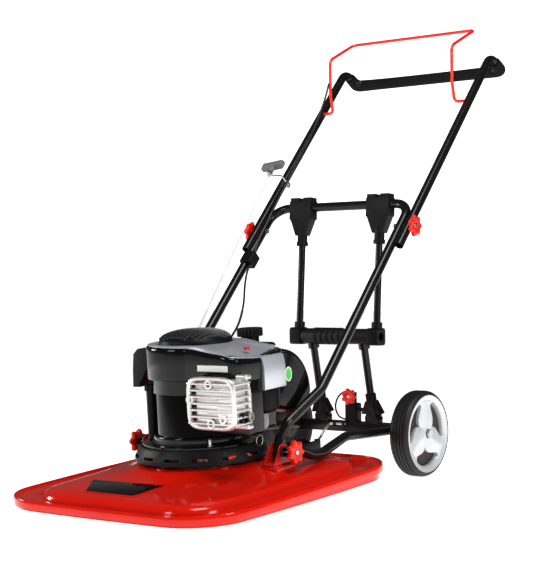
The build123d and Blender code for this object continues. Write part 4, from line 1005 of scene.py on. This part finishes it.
for side_name, side in (("left", 1), ("right", -1)):
    paint(tyre_rubber, f"tyre_{side_name}")
    paint(core_brown, f"wheel_core_{side_name}")
    smooth_nodes(f"tyre_{side_name}", f"wheel_core_{side_name}")

    def on_wheel(radius, turn, out):
        """A place on this wheel, with out measured outwards from its face."""
        x = side * (outer_x + out)
        return (x, axle_y + radius * math.cos(turn), axle_z + radius * math.sin(turn))

    def wheel_ring(radius, out, count):
        """Points round a circle about the axle."""
        return [on_wheel(radius, 2 * math.pi * k / count, out) for k in range(count)]

    rim = loft([wheel_ring(radius, out, 96) for radius, out in rim_profile], closed=True)
    spokes = []
    for k in range(spoke_count):
        base = math.radians(84 + 120 * k)
        sections = []
        for step in range(spoke_steps + 1):
            share = step / spoke_steps
            radius = 0.002 + 0.0775 * share
            half = math.radians(60 - 42 * ease(share, 0.36, 0.88) + 4 * ease(share, 0.92, 1.0))
            middle = base + side * math.radians(8) * ease(share, 0.2, 0.95)
            front = []
            for part in (-1, -0.8, -0.55, -0.25, 0, 0.25, 0.55, 0.8, 1):
                fall = 0.0055 * abs(part) * math.sin(math.pi * min(1, share * 0.8 + 0.15))
                front.append(on_wheel(radius, middle + half * part, -0.0030 - 0.0010 * share - fall))
            back = [on_wheel(radius, middle + half * part, -0.0165) for part in (1, 0.5, 0, -0.5, -1)]
            sections.append(front + back)
        spokes.append(loft(sections, capped=True))
    hub = loft([wheel_ring(radius, out, 48) for radius, out in hub_profile], capped=True)
    settle(together([rim] + spokes + [hub]), f"wheel_face_{side_name}", rim_silver,
           f"wheel_{side_name}", [f"wheel_rim_{side_name}"], smooth=38)


# ---- pull rope and its grip ---------------------------------------------------------------------
# A thin white braided rope runs straight from the starter to a grey T-shaped grip that rests on the
# wire guide bolted to the right leg.
grip_grey = finish("grip_grey", (0.16, 0.16, 0.165), 0.45, grain=900, depth=0.2, mottle=0.1)
soften("t_handle", 0.004, grip_grey, segments=4, flat=0.5)
rope_white = finish("rope_white", (0.70, 0.70, 0.68), 0.8, grain=2500, depth=0.5, mottle=0.1)
rope_start = Vector((-0.062, -0.265, 0.349))
guide_eye = Vector((-0.200, 0.205, 0.747))
rope_line = guide_eye - rope_start
rope_radius, braid_depth, ring_pitch = 0.00215, 0.00012, 0.012


def bend_between(piece, name, material):
    """Name a cord that runs from one body to another, shade it smooth, paint it and bake its place into its
    mesh.
    """
    piece.name = name
    piece.data.name = name
    only(piece)
    bpy.ops.object.shade_smooth()
    piece.data.materials.append(material)
    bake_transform(piece)


def rope_piece(name, start, end):
    """A straight stretch of the rope, lofted through rings spaced along it, each ring rippled like a braid.
    """
    direction = (end - start).normalized()
    count = max(4, int((end - start).length / ring_pitch))
    across = direction.cross(Vector((1, 0, 0))).normalized()
    other = direction.cross(across)
    rings = []
    for k in range(count + 1):
        middle = start.lerp(end, k / count)
        ring = []
        for j in range(16):
            turn = 2 * math.pi * j / 16
            radius = rope_radius + braid_depth * math.cos(4 * turn + k * 0.9)
            ring.append(middle + across * radius * math.cos(turn) + other * radius * math.sin(turn))
        rings.append(ring)
    piece = loft(rings, capped=True)
    bend_between(piece, name, rope_white)
    return piece


rope_mid = rope_start + rope_line * 0.55
rope_end = guide_eye - rope_line.normalized() * 0.006
rope_knot = guide_eye + rope_line.normalized() * 0.012
lower_rope = rope_piece("rope_lower", rope_start, rope_mid)
rope_piece("rope_upper", rope_mid, rope_end)
rope_piece("rope_tail", rope_end, rope_knot)
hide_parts("starter_rope")


# ---- bail cable ---------------------------------------------------------------------------------
# A black sheathed control cable runs down the right leg, through a clip, and across to the brake
# bracket on the engine.
cable_black = finish("cable_black", (0.012, 0.012, 0.012), 0.4, grain=1200, depth=0.15)
cable_radius = 0.0026
cable_x, wave_x = 0.1882, 0.1872
upper_route = [
    (-0.186, 0.4564, 1.003), (-0.187, 0.4484, 0.977), (-cable_x, 0.420, 0.925), (-wave_x, 0.375, 0.858),
    (-cable_x, 0.318, 0.794), (-wave_x, 0.258, 0.722), (-cable_x, 0.196, 0.646),
]
middle_route = [
    (-cable_x, 0.196, 0.646), (-wave_x, 0.168, 0.612), (-cable_x, 0.138, 0.576),
    (-cable_x, 0.1138, 0.5277),
]
engine_route = [
    (-cable_x, 0.1138, 0.5277), (-0.1862, 0.092, 0.505), (-0.170, 0.058, 0.462),
    (-0.144, 0.022, 0.420), (-0.114, -0.036, 0.372), (-0.095, -0.096, 0.338),
    (-0.086, -0.144, 0.310), (-0.086, -0.176, 0.292),
]
for name, route, body, node in (
    ("cable_upper", upper_route, "upper_handle", "bail_cable_upper"),
    ("cable_middle", middle_route, "handle", "bail_cable_lower"),
):
    settle(swept(name, route, cable_radius, sides=3), name, cable_black, body, [node])
cable_engine = swept("cable_engine", engine_route, cable_radius, sides=3)
bend_between(cable_engine, "cable_engine", cable_black)
